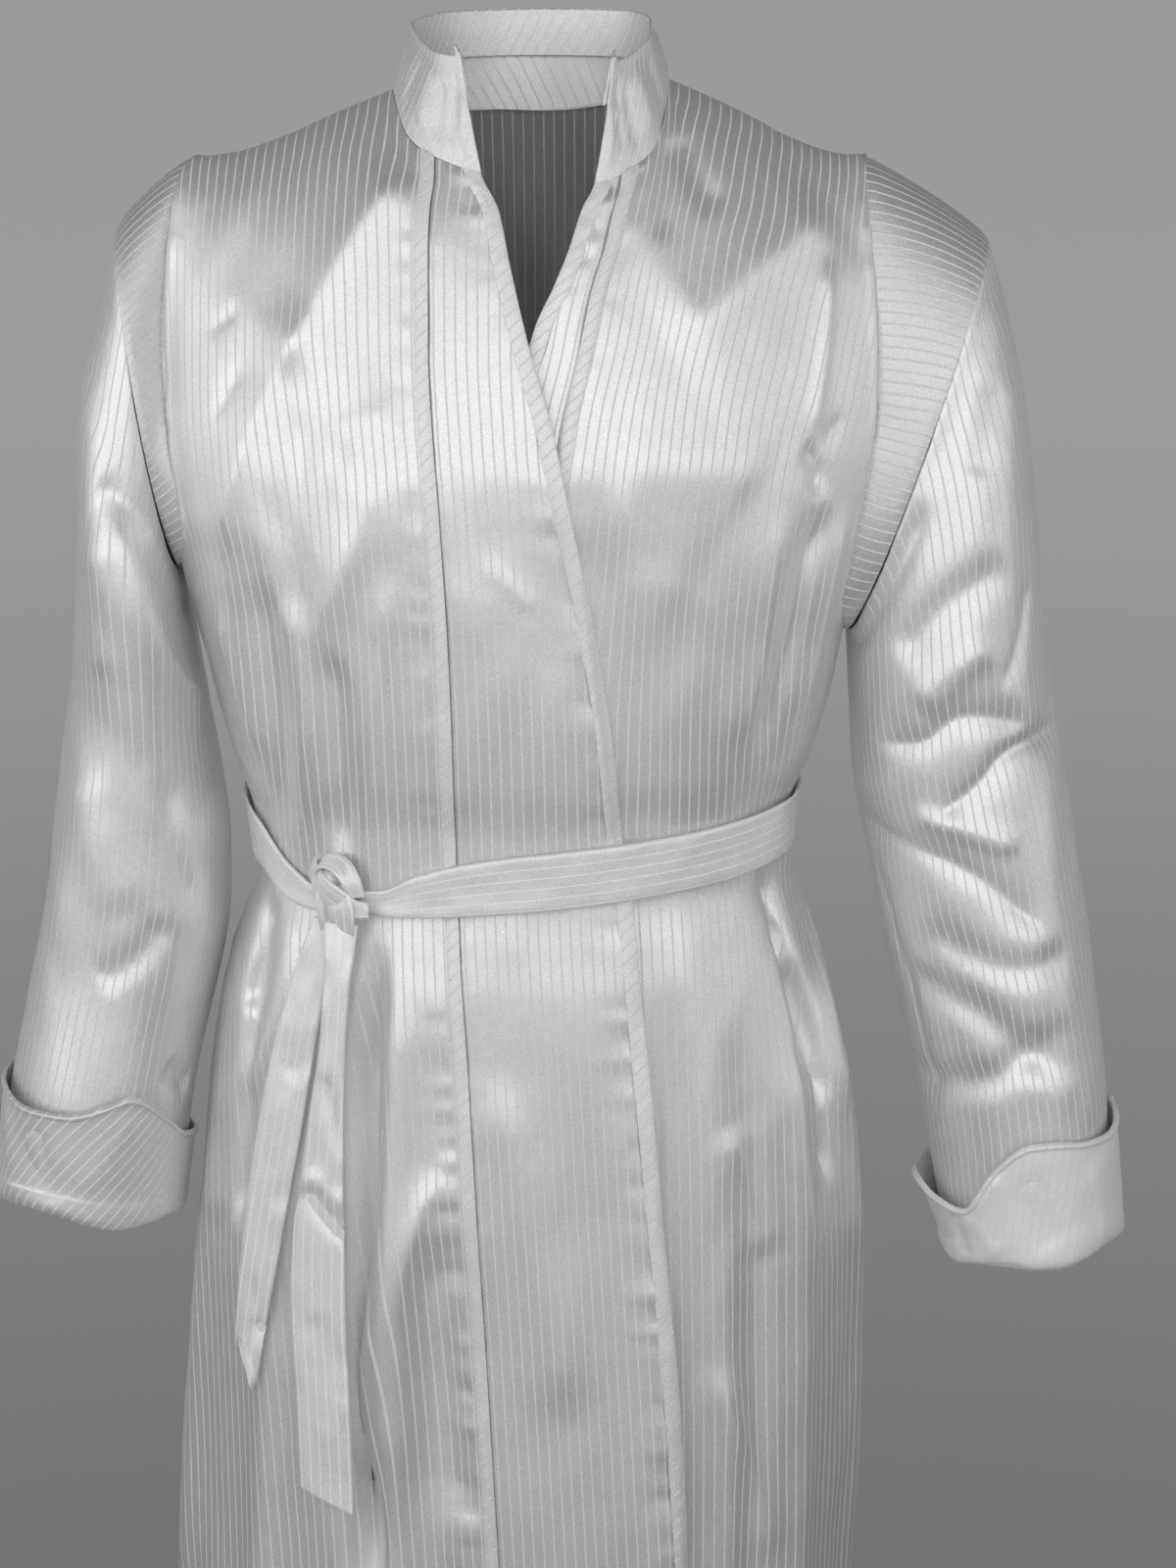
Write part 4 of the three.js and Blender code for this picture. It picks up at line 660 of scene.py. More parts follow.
def front_place(side):
    """Wrap angle, height and lap of every grid point of one front."""
    w = BAND_LINES[None, :]
    top = np.full_like(w, -30)
    # each line starts where it meets the neck seam, found in a few steps
    for _ in range(12):
        top = read(NECK_FRONT, "x", "z", line_x(side, w, top))
    z_band = row_height(top, ARMPIT[side], 0)
    a_band = angle_of(line_x(side, w, z_band), z_band)

    def strip_angle(z):
        return np.abs(angle_of(line_x(side, np.full_like(z, 3.0), z), z))

    share = (np.arange(1, PANEL_STEPS + 1) / PANEL_STEPS)[None, :]
    start = line_x(side, np.array([3.0]), top[:, -1])[0]
    x_top, z_top = shoulder_top(share, start, NECK_POINT[side], SHOULDER_END[side], 1.6, NECK_FRONT)
    z = row_height(z_top, ARMPIT[side], share)
    top_a = np.abs(angle_of(x_top, z_top))
    top_inner = strip_angle(z_top)
    top_share = (top_a - top_inner) / (ARMHOLE[side][0] - top_inner)
    turn = np.where(ROW_STEPS == 0, top_a, column_angle(strip_angle(z), side, top_share, share))
    a = np.concatenate([a_band, OUT[side] * turn], axis=1)
    z = np.concatenate([z_band, z], axis=1)
    x = np.sign(a) * half_width(a < 0, z) * np.sin(np.radians(np.abs(a))) ** (2 / read(BODY, "z", "power", z))
    return a, z, lap_of(x, z) if side == "left" else np.zeros_like(a)


def back_place():
    """Wrap angle and height of every grid point of the back."""
    k = np.linspace(-1, 1, BACK_STEPS + 1)[None, :]
    share = np.abs(k)
    neck, end = (np.where(k < 0, ends["right"], ends["left"]) for ends in (NECK_POINT, SHOULDER_END))
    x_top, z_top = shoulder_top(share, 0, neck, end, 1, NECK_BACK)
    z = row_height(z_top, mix(ARMPIT["right"], ARMPIT["left"], ease((k + 1) / 2)), share)
    top_a = np.abs(angle_of(x_top, z_top))
    turn = np.where(ROW_STEPS == 0, top_a, column_angle(0, "back", top_a / ARMHOLE["back"][0], share))
    return np.where(k < 0, -1, 1) * (180 - turn), z


# creases, seams and small folds

def crease_lines(lines, u, v, place):
    """Sum of creases along lines of points; place turns (x, z) into (u, v)."""
    total = np.zeros(u.shape)
    for points, depth, left, right, sharp in lines:
        spots = smooth_path(np.array([place(x, z) for x, z in points], float), 4)
        ways = np.diff(spots, axis=0)
        sizes = np.maximum(1e-6, np.hypot(ways[:, 0], ways[:, 1]))
        starts = running(sizes)
        near = np.full(u.shape, 1e9)
        along = np.zeros(u.shape)
        cross = np.zeros(u.shape)
        for spot, way, size, start in zip(spots, ways, sizes, starts):
            du, dv = u - spot[0], v - spot[1]
            t = np.clip((du * way[0] + dv * way[1]) / size**2, 0, 1)
            away = np.hypot(du - t * way[0], dv - t * way[1])
            closer = away < near
            near = np.where(closer, away, near)
            along = np.where(closer, (start + t * size) / starts[-1], along)
            cross = np.where(closer, (way[0] * dv - way[1] * du) / size, cross)
        half = mix(left, right, ease(cross / 4 + 0.5))
        if sharp:
            shape = np.exp(-(np.sqrt(near**2 + sharp**2) - sharp) / half)
        else:
            shape = bell(near, half)
        total += depth * shape * ease(along / 0.2) * ease((1 - along) / 0.2)
    return total


def fine_fade(points):
    """Fine folds die out towards the shoulder ridge."""
    return ease(below_shoulder(points[..., 0], points[..., 2]) / 30)


def seam_dip(distance, depth, half):
    return -depth * bell(distance, half)


def small_wrinkles(u, v, seed, strength=1.0):
    """Low uneven ripple of loose satin, in millimetres of flat cloth."""
    broad = 1.5 * soft_noise((u + 0.3 * v) / 46, v / 105, seed)
    middle = 0.6 * soft_noise((u - 0.35 * v) / 19, v / 52, seed + 1)
    fine = 0.10 * soft_noise((u + 0.5 * v) / 8, v / 21, seed + 2)
    return strength * (broad + middle + fine)


def pucker(distance, v, seed, reach, depth):
    """Short ripples that run across a row of stitches."""
    away = distance / 30
    ripple = soft_noise(v / 7.5, away, seed) + 0.6 * soft_noise(v / 15.0, away + 8.1, seed + 5)
    return depth * ripple * bell(distance, reach)


def looseness(points, least):
    """Puckers are strong in the skirt and weaker above the belt."""
    return mix(least, 1.0, ease((-480 - points[..., 2]) / 160))


def side_edge(away, v, seed):
    """Rolled armhole edge above the armpit and side seam below it."""
    roll = bell(away - 3.5, 3.2) * ON_ARMHOLE
    return roll + seam_dip(away, 1.2, 2.6) * (1 - ON_ARMHOLE) + pucker(away, v, seed, 9, 0.5)


def shoulder_and_hem(points):
    hem_stitches = seam_dip(np.abs(points[..., 2] - HEM_Z - HEM_DEPTH), 0.6, 1.6)
    return seam_dip(border_distance(points, "top"), 0.8, 2.0) + hem_stitches


# grids and meshes

def grid_normals(points, wrap, out):
    if wrap:
        east = np.roll(points, -1, axis=1) - np.roll(points, 1, axis=1)
    else:
        east = np.gradient(points, axis=1)
    return unit(np.cross(np.gradient(points, axis=0), east)) * out


def along_cloth(way, normal):
    """The direction of a step with its part along the normal taken out."""
    return unit(way - normal * np.sum(way * normal, -1, keepdims=True))


def raise_points(points, normals, height):
    return points + normals * height[..., None]


def border_distance(points, side):
    """Distance across the cloth from one border of a grid: first, last or top."""
    axis = 0 if side == "top" else 1
    steps = np.linalg.norm(np.diff(points, axis=axis), axis=-1)
    if side == "last":
        return np.flip(running(np.flip(steps, axis), axis), axis)
    return running(steps, axis)


def turned_edge(grid, side, reach, wall=1.5):
    """Adds a turned-in hem along one border of a grid: first, last or end."""
    if side == "end":
        grid = [np.swapaxes(q, 0, 1) for q in grid]
    if side == "first":
        grid = [q[:, ::-1] for q in grid]
    points, normals, uv = grid
    edge, normal, flat = points[:, -1], normals[:, -1], uv[:, -1]
    out = along_cloth(edge - points[:, -2], normal)
    flat_out = unit(flat - uv[:, -2])
    # steps out along the cloth, along the normal and along the flat cloth
    rings = [
        (0.45, -0.2, 0.5), (0.6, -0.75, 1.2), (0.3, -1.35, 2.0), (-1.0, -wall, 3.2),
        (-0.5 * reach, -wall - 0.2, 0.5 * reach), (-reach, -wall - 0.1, reach),
    ]
    extra = [
        np.stack([edge + out * o + normal * n for o, n, _ in rings], 1),
        np.repeat(normal[:, None], len(rings), 1),
        np.stack([flat + flat_out * f for _, _, f in rings], 1),
    ]
    grid = [np.concatenate(pair, 1) for pair in zip(grid, extra)]
    if side == "first":
        grid = [q[:, ::-1] for q in grid]
    if side == "end":
        grid = [np.swapaxes(q, 0, 1) for q in grid]
    return grid


def grid_faces(height, width, wrap=False):
    cols = np.arange(width if wrap else width - 1)
    i, j = np.meshgrid(np.arange(height - 1), cols, indexing="ij")
    k = (j + 1) % width
    corners = [i * width + j, (i + 1) * width + j, (i + 1) * width + k, i * width + k]
    return np.stack(corners, -1).reshape(-1, 4)


def add_piece(node, cloth, points, faces, corners):
    """A piece of cloth that stands for the node it is named after."""
    name = f"robe_{node}"
    material, slot = cloth
    mesh = bpy.data.meshes.new(name)
    mesh.from_pydata((points.reshape(-1, 3) * MM).tolist(), [], faces.tolist())
    layer = mesh.uv_layers.new(name="cloth")
    layer.data.foreach_set("uv", (corners * MM).reshape(-1))
    mesh.shade_smooth()
    mesh.update()
    mesh.materials.append(material)
    piece = bpy.data.objects.new(name, mesh)
    bpy.context.scene.collection.objects.link(piece)
    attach(piece, "root")
    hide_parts(node)


def sew(node, cloth, grid, wrap=False, flip=False):
    """A piece from a grid of points, normals and flat cloth, with one more flat column on a tube."""
    points, _, uv = grid
    height, width = points.shape[:2]
    faces = grid_faces(height, width, wrap)
    corners = uv.reshape(-1, 2)[grid_faces(height, uv.shape[1])]
    if flip:
        faces, corners = faces[:, ::-1], corners[:, ::-1]
    add_piece(node, cloth, points, faces, corners)


# materials

def add_node(tree, kind, links=None, values=None, **settings):
    """A shader node with its settings, what feeds it and its fixed values."""
    node = tree.nodes.new(kind)
    for key, value in settings.items():
        setattr(node, key, value)
    for socket, value in (links or {}).items():
        tree.links.new(value, node.inputs[socket])
    for socket, value in (values or {}).items():
        node.inputs[socket].default_value = value
    return node


def math_node(tree, operation, *terms):
    fixed = {k: term for k, term in enumerate(terms) if isinstance(term, (int, float))}
    fed = {k: term for k, term in enumerate(terms) if k not in fixed}
    return add_node(tree, "ShaderNodeMath", fed, fixed, operation=operation).outputs[0]


def smooth_range(tree, source, low, high, bottom, top):
    values = {"From Min": low, "From Max": high, "To Min": bottom, "To Max": top}
    node = add_node(tree, "ShaderNodeMapRange", {"Value": source}, values, interpolation_type="SMOOTHSTEP")
    return node.outputs[0]


STRIPE_PERIOD = 0.0062
STRIPE_SHARE = 0.14
STRIPE_SOFT = 0.04
STRIPE_ROUGH = 0.72
SLUB_ACROSS = 1900.0
SLUB_ALONG = 90.0
TWILL_SCALE = 5200.0
BLUE_TINT = 1.004


def satin(name, slot, lean=0.0, ground=0.84, stripe=0.82, twill=0.0, metal=0.60, rough=0.41):
    """White satin with a matte self stripe; lean turns the stripe in degrees."""
    material = bpy.data.materials.new(name)
    material.use_nodes = True
    tree = material.node_tree
    tree.nodes.clear()

    def calc(operation, *terms):
        return math_node(tree, operation, *terms)

    def noise(scale, detail, vector, **settings):
        values = {"Scale": scale, "Detail": detail}
        return add_node(tree, "ShaderNodeTexNoise", {"Vector": vector}, values, **settings).outputs[0]

    def swing(source, size):
        """Noise from 0 to 1 as a change of half the size either way."""
        return calc("MULTIPLY_ADD", source, size, -size / 2)

    uv = add_node(tree, "ShaderNodeUVMap", uv_map="cloth")
    parts = add_node(tree, "ShaderNodeSeparateXYZ", {0: uv.outputs[0]})
    u, v = parts.outputs[0], parts.outputs[1]
    c, s = math.cos(math.radians(lean)), math.sin(math.radians(lean))
    across = calc("MULTIPLY_ADD", v, s, calc("MULTIPLY", u, c))
    along = calc("MULTIPLY_ADD", v, c, calc("MULTIPLY", u, -s))

    phase = calc("FRACT", calc("MULTIPLY", across, 1 / STRIPE_PERIOD))
    from_middle = calc("ABSOLUTE", calc("SUBTRACT", phase, 0.5))
    half = STRIPE_SHARE / 2
    on_stripe = smooth_range(tree, from_middle, half + STRIPE_SOFT, half - STRIPE_SOFT, 0.0, 1.0)

    # thread lines along the satin, and fine noise of the weave, the shade and the relief
    spots = {0: calc("MULTIPLY", across, SLUB_ACROSS), 1: calc("MULTIPLY", along, SLUB_ALONG)}
    threads = add_node(tree, "ShaderNodeCombineXYZ", spots).outputs[0]
    slub = noise(1.0, 2.0, threads, noise_dimensions="2D")
    place = add_node(tree, "ShaderNodeTexCoord").outputs["Object"]
    shade = calc("ADD", swing(noise(26.0, 3.0, place), 0.05), swing(noise(1150.0, 1.0, place), 0.42))
    grain = noise(210.0, 3.0, place)

    tone = calc("ADD", calc("MULTIPLY_ADD", on_stripe, stripe - ground, ground), shade)
    tone = calc("ADD", tone, swing(slub, 0.05))
    blue = calc("MULTIPLY", tone, BLUE_TINT)
    colour = add_node(tree, "ShaderNodeCombineColor", {0: tone, 1: tone, 2: blue})
    dull = calc("MULTIPLY_ADD", on_stripe, STRIPE_ROUGH - rough, rough)

    relief = calc("ADD", calc("MULTIPLY", on_stripe, 0.35), calc("MULTIPLY", slub, 0.25))
    relief = calc("ADD", relief, calc("MULTIPLY", grain, 0.5))
    if twill:
        # close diagonal lines
        diagonal = calc("ADD", calc("MULTIPLY", across, TWILL_SCALE), calc("MULTIPLY", along, TWILL_SCALE))
        relief = calc("ADD", relief, calc("MULTIPLY", calc("SINE", diagonal), twill))
    bump = add_node(tree, "ShaderNodeBump", {"Height": relief}, {"Strength": 0.5, "Distance": 0.0005})

    shader = add_node(tree, "ShaderNodeBsdfPrincipled", {
        "Base Color": colour.outputs[0],
        "Metallic": calc("MULTIPLY_ADD", on_stripe, -metal, metal),
        "Roughness": calc("ADD", dull, swing(slub, 0.10)),
        "Normal": bump.outputs[0],
    }, {"Sheen Weight": 0.12, "Sheen Roughness": 0.4})
    add_node(tree, "ShaderNodeOutputMaterial", {0: shader.outputs[0]})
    return material, slot


ROBE = satin("robe_satin", "robe_satin")
TRIM = satin("trim_satin", "trim_satin", lean=48, twill=0.12, ground=0.90, metal=0.40, rough=0.46)
# the armhole bands' satin has a darker ground than the robe's: painted shade, against which its matte stripe
# shows lighter
CROSS = satin("crosswise_satin", "crosswise_satin", metal=0.55, ground=0.70, stripe=0.84)
COLLAR = satin("collar_satin", "collar_cuff_satin", lean=32, twill=0.1, ground=0.80, stripe=0.94,
               metal=0.4, rough=0.45)
CUFF_CLOTH = {
    "right": satin("cuff_satin_right", "collar_cuff_satin", lean=-35, stripe=0.94, metal=0.4, rough=0.42),
    # the left cuff's whiter ground and lower metal are painted light: the same cuff satin as the right one,
    # made brighter
    "left": satin("cuff_satin_left_painted_light", "collar_cuff_satin", lean=14, ground=0.96, stripe=0.86,
                  metal=0.20, rough=0.42),
}
BELT_CLOTH = satin("belt_satin", "belt_satin", ground=0.92, stripe=1.0, metal=0.3, rough=0.42)


# fronts, bands, edges, strips and back

def front_cloth_place(x, z):
    """Flat cloth coordinates of a point x, z on the front."""
    x, z = np.array([float(x)]), np.array([float(z)])
    return float(across_cloth("front", angle_of(x, z), z)[0]), float(z[0])


def front_surface(side):
    a, z, lap = front_place(side)
    folds = large_folds(a, z)
    if side == "left":
        # the under front takes the deepest fold nearby, so it stays below the front over it
        least = folds
        for turn in (-7, -3.5, 3.5, 7):
            least = np.minimum(least, large_folds(a + turn, z))
        folds = mix(folds, least, -lap / LAP_DEPTH)
    base = robe_point(a, z, lap, folds)
    u = across_cloth("front", a, z)
    normals = grid_normals(base, False, OUT[side])
    fine = crease_lines(FRONT_CREASES, u, z, front_cloth_place)
    fine += small_wrinkles(u, z, WRINKLE_SEED["front", side])
    fine *= 1 + 0.8 * lap / LAP_DEPTH
    fine = (fine + crease_lines(CHEST_HOLLOW, u, z, front_cloth_place)) * fine_fade(base)
    uv = np.stack([u - u[:, SEAM_LINE:SEAM_LINE + 1], -z], -1)
    return {"base": base, "points": raise_points(base, normals, fine), "normals": normals, "uv": uv}


def make_front(side, surface):
    seed = FRONT_SEED[side]
    flip = side == "left"
    node = f"front_{side}"

    def cut_columns(first, stop=None):
        return [surface[key][:, first:stop] for key in ("points", "normals", "uv")]

    # centre band
    points, normals, uv = cut_columns(0, SEAM_LINE + 1)
    from_edge = np.maximum(0, border_distance(points, "first") - BINDING_WIDTH)
    to_seam = border_distance(points, "last")
    height = pucker(from_edge, uv[..., 1], seed, 13, 1.2) * looseness(points, 0.5)
    height += seam_dip(to_seam, 1.0, 1.8) + 0.5 * pucker(to_seam, uv[..., 1], seed + 1, 6, 0.4)
    grid = turned_edge([raise_points(points, normals, height), normals, uv], "end", HEM_TURN)
    sew(f"{node}_band", ROBE, grid, flip=flip)

    # panel from the band seam to the side seam
    points, normals, uv = cut_columns(SEAM_LINE)
    from_strip = np.maximum(0, border_distance(points, "first") - STRIP_WIDTH)
    height = pucker(from_strip, uv[..., 1], seed + 3, 14, 1.7)
    height *= looseness(points, 0.35) * ease(from_strip / 5)
    height += side_edge(border_distance(points, "last"), uv[..., 1], seed + 2) + shoulder_and_hem(points)
    grid = turned_edge([raise_points(points, normals, height), normals, uv], "end", HEM_TURN)
    grid = turned_edge(grid, "last", EDGE_TURN)
    sew(f"{node}_panel", ROBE, grid, flip=flip)

    # narrow strip sewn over the band seam
    points, normals, uv = cut_columns(SEAM_LINE, SEAM_LINE + STRIP_LINES + 1)
    share = np.linspace(-1, 1, points.shape[1])[None, :]
    height = 0.25 + 0.95 * (1 - share**4) + 0.25 * soft_noise(uv[..., 1] / 13, share * 0.5, seed + 4)
    grid = [raise_points(points, normals, height), normals, uv]
    sew(f"{node}_strip", TRIM, grid, flip=flip)

    # binding folded round the free edge
    points, normals, uv = cut_columns(0, BINDING_LINE + 1)
    share = np.linspace(-1, 1, points.shape[1])[None, :]
    ripple = soft_noise(uv[..., 1] / 4.5, share * 0.8, seed + 6) * 0.3
    height = 0.4 + 1.2 * (1 - np.maximum(0, share) ** 3) + ripple
    grid = turned_edge([raise_points(points, normals, height), normals, uv], "first", 8, 3.6)
    sew(f"{node}_edge", TRIM, grid, flip=flip)


def make_back():
    a, z = back_place()
    base = folded_point(a, z)
    u = across_cloth("back", np.sign(a) * (180 - np.abs(a)), z)
    normals = grid_normals(base, False, -1)
    points = raise_points(base, normals, small_wrinkles(u, z, WRINKLE_SEED["back"], 1.2) * fine_fade(base))
    height = shoulder_and_hem(points)
    for side in ("first", "last"):
        height = height + side_edge(border_distance(points, side), z, 83)
    grid = [raise_points(points, normals, height), normals, np.stack([u, -z], -1)]
    for side, reach in (("end", HEM_TURN), ("first", EDGE_TURN), ("last", EDGE_TURN)):
        grid = turned_edge(grid, side, reach)
    sew("back", ROBE, grid, flip=True)
    return {"base": base, "normals": normals}


# sleeves, armhole bands and cuffs

AROUND = 2 * UPPER_STEPS
AROUND_ANGLE = (np.arange(AROUND + 1) * math.pi / UPPER_STEPS)[None, :]
SLEEVE_STEPS = 172
BAND_STEPS = 18
CUFF_STEPS = 6


def ring_value(source, name, t):
    """A column of the sleeve's table at t; past the wrist it goes on in a straight line."""
    count = len(source["ox"]) - 1
    keyed = dict(source, index=np.arange(count + 1.0))
    place = np.asarray(t, float) * count
    inside = read(keyed, "index", name, np.minimum(place, count))
    return inside + (source[name][count] - source[name][count - 1]) * np.maximum(0, place - count)


def rounded(angle):
    """Unit ring with slightly full corners."""
    c, s = np.cos(angle), np.sin(angle)
    power = 2 / SLEEVE_POWER
    return np.sign(c) * np.abs(c) ** power, np.sign(s) * np.abs(s) ** power


def ring_point(source, t, angle):
    ox, oz, ix, iz, deep, mid, lift = (ring_value(source, n, t) for n in "ox oz ix iz deep mid lift".split())
    cx, cz = (ox + ix) / 2, (oz + iz) / 2
    along, across = rounded(angle)
    return np.stack([cx + (ox - cx) * along, mid - deep * across, cz + (oz - cz) * along + lift * across], -1)


def ring_middle(source, t, angle):
    return (ring_point(source, t, 0 * angle) + ring_point(source, t, 0 * angle + math.pi)) / 2


def sleeve_ring(source, t):
    """Points of the sleeve's rings and their directions outwards."""
    angle = AROUND_ANGLE[:, :-1]
    p = ring_point(source, t, angle)
    q = ring_point(source, t, angle + 0.01)
    return p, unit((p + q) / 2 - ring_middle(source, t, angle))


def sleeve_folds(source, t):
    angle = np.degrees(AROUND_ANGLE[:, :-1])
    total = np.zeros(np.broadcast(angle, t).shape)
    for a1, t1, a2, t2, half, depth in zip(*source.values()):
        ux, ut = (a2 - a1) / 360, (t2 - t1) * SLEEVE_ASPECT
        size = math.hypot(ux, ut)
        px, pt = (angle - a1) / 360, (t - t1) * SLEEVE_ASPECT
        along = (px * ux + pt * ut) / size**2
        fade = ease((along + 0.1) / 0.3) * ease((1.1 - along) / 0.3)
        total += depth * bell((px * ut - pt * ux) / size, half) * fade
    return total * ease(t / 0.12) * ease((0.92 - t) / 0.1)


def round_lengths(points):
    """Running length round each ring of a tube, with the closing step."""
    closed = np.concatenate([points, points[:, :1]], axis=1)
    return running(np.linalg.norm(np.diff(closed, axis=1), axis=-1), 1)


def sleeve_cloth(source, t):
    """Flat cloth coordinates of a sleeve: round the arm from the front line, and along it."""
    ox, oz, ix, iz, deep = (ring_value(source, n, t) for n in "ox oz ix iz deep".split())
    cx, cz = (ox + ix) / 2, (oz + iz) / 2
    way = unit(np.concatenate([np.gradient(cx, axis=0), np.gradient(cz, axis=0)], axis=1))
    half_x, half_z = ox - cx, oz - cz
    wide = np.abs(half_x * way[:, 1:] - half_z * way[:, :1])
    slant = half_x * way[:, :1] + half_z * way[:, 1:]
    along, across = rounded(AROUND_ANGLE)
    around = running(np.hypot(np.diff(wide * along, axis=1), np.diff(deep * across, axis=1)), 1)
    quarter = UPPER_STEPS // 2
    middle = running(np.hypot(np.diff(cx[:, 0]), np.diff(cz[:, 0])))[:, None]
    return around - around[:, quarter:quarter + 1], middle + slant * along


def make_armhole_band(side, front, back):
    """Band between the robe's armhole edge and the sleeve head."""
    source = SLEEVE[side]
    column, beside = (0, 1) if side == "right" else (-1, -2)
    ahead = np.arange(AROUND) <= UPPER_STEPS
    row = np.where(ahead, np.arange(AROUND), AROUND - np.arange(AROUND))

    def pick(name, f, b):
        return np.where(ahead[:, None], front[name][row, f], back[name][row, b])

    point, normal = pick("base", -1, column), pick("normals", -1, column)
    along = along_cloth(point - pick("base", -2, beside), normal)
    along[UPPER_STEPS] = (0, 0, 1)
    armhole = point + along * ARMHOLE_GAP

    first, out = (q[0] for q in sleeve_ring(source, np.zeros((1, 1))))
    width = np.linalg.norm(first - armhole, axis=1)
    swell = 2.5 * np.clip((width - 12) / 40, 0, 1)
    t = np.linspace(0, 1, BAND_STEPS + 1)[:, None, None]
    band = mix(armhole[None], first[None], t) + out[None] * (4 * t * (1 - t)) * swell[None, :, None]
    around = round_lengths(band)
    width = np.append(width, width[0])[None, :]
    drop = width * t[..., 0]
    edge = np.minimum(drop, width - drop)[:, :AROUND]
    wrinkle = small_wrinkles(around[:, :AROUND], drop[:, :AROUND], 91, 0.35)
    height = wrinkle * ease(edge / 10) + seam_dip(edge, 0.5, 1.6) + 0.5 * ease(edge / 6)
    band = raise_points(band, grid_normals(band, True, -OUT[side]), height)

    # the stripe runs across the band and leans at the front and the back
    turn = np.append(np.sin(AROUND_ANGLE[0, :-1]), 0)[None, :]
    stripe = around.mean(axis=0, keepdims=True) + BAND_STRIPE_SLANT[side] * turn * drop
    uv = np.stack([stripe, drop], -1)
    # its edge is tucked under the robe's
    tuck = point - along * 4 - normal * 1.3
    grid = [np.concatenate([tuck[None], band]), None, np.concatenate([uv[:1] - (0, 4), uv])]
    # the band's satin carries painted shade in its darker ground
    sew(f"armhole_band_{side}", CROSS, grid,
        wrap=True, flip=side == "left")


def make_sleeve(side):
    source = SLEEVE[side]
    t = np.linspace(0, 1, SLEEVE_STEPS + 1)[:, None]
    tube, out = sleeve_ring(source, t)
    tube = raise_points(tube, out, sleeve_folds(SLEEVE_FOLDS[side], t))
    tube[..., 1] += SLEEVE_BACK[side] * ease((t - 0.2) / 0.55) * ease((0.95 - t) / 0.2)
    u, v = sleeve_cloth(source, t)
    ring_u, ring_v = u[:, :AROUND], v[:, :AROUND]
    front = slice(0, UPPER_STEPS + 1)

    def place(x, z):
        gap = np.hypot(tube[:, front, 0] - x, tube[:, front, 2] - z)
        row, column = np.unravel_index(np.argmin(gap), gap.shape)
        return u[row, column], v[row, column]

    height = small_wrinkles(ring_u, ring_v, WRINKLE_SEED["sleeve", side], 1.1)
    height += crease_lines(SLEEVE_CREASES[side], ring_u, ring_v, place)
    from_seam = border_distance(tube, "top")
    height = height * ease(from_seam / 25) + seam_dip(from_seam, 1.0, 2.0)
    height += pucker(from_seam, ring_u, 171, 10, 0.4)
    tube = raise_points(tube, grid_normals(tube, True, -OUT[side]), height)
    grid = [tube, None, np.stack([u, v], -1)]
    sew(f"sleeve_{side}", ROBE, grid,
        wrap=True, flip=side == "left")


def make_cuff(side):
    source = SLEEVE[side]
    middle = [(source["ox"] + source["ix"]) / 2, (source["oz"] + source["iz"]) / 2, source["mid"]]
    centre = np.stack(middle, -1)
    rise = (len(centre) - 1) * np.linalg.norm(centre[-1] - centre[-2])
    angle = AROUND_ANGLE[:, :-1]
    degrees = np.degrees(angle[0])
    top, flare, hug, low = (read(CUFF[side], "angle", n, degrees) for n in "top flare hug low".split())
    shoulder = mix(24, top, 0.7)
    bend = mix(hug, flare, 0.6)
    wall = 1.5
    same = 0 * top
    # distance off the sleeve and height: from inside the wrist round the lower edge,
    # up the outside, over the top edge and down behind it
    profile = [
        (same - 2.2, same + 44), (same - 1.8, same + 20), (same - wall, low + 5), (same - 0.4, low + 0.6),
        (same + 1.6, low + 0.3), (hug + wall, low + 5), (hug + wall + 0.4, mix(low + 5, 24, 0.5)),
        (hug + wall, same + 24), (bend + wall, shoulder), (flare + wall - 0.3, top - 3.4),
        (flare + wall + 1.1, top - 2.2), (flare + wall + 1.3, top - 0.3), (flare + 1.0, top + 1.2),
        (flare, top), (bend, shoulder), (same + 2.6, same + 24),
    ]
    track = np.array(profile).transpose(0, 2, 1).reshape(len(profile), -1)
    track = smooth_path(track, CUFF_STEPS).reshape(-1, AROUND, 2)
    outs, heights = track[..., 0], track[..., 1]
    t = 1 - (heights - 12) / rise
    points = ring_point(source, t, angle + 0 * t)
    points = raise_points(points, unit(points - ring_middle(source, t, t)), outs)
    around = round_lengths(points)
    v = np.concatenate([heights, heights[:, :1]], axis=1)
    mean = around[len(around) // 2][None, :] + 0 * v

    def place(turn, height):
        return float(np.interp(turn, degrees, mean[0, :AROUND])), height

    height = small_wrinkles(mean[:, :AROUND], heights, WRINKLE_SEED["cuff", side], 0.6)
    height += crease_lines(CUFF_CREASES[side], mean[:, :AROUND], heights, place)
    points = raise_points(points, grid_normals(points, True, OUT[side]), height * ease((outs - 1.5) / 4))
    # the left cuff's satin carries painted light in its whiter ground and lower metal
    sew(f"cuff_{side}", CUFF_CLOTH[side], [points, None, np.stack([mean, v], -1)],
        wrap=True, flip=side == "right")


# collar

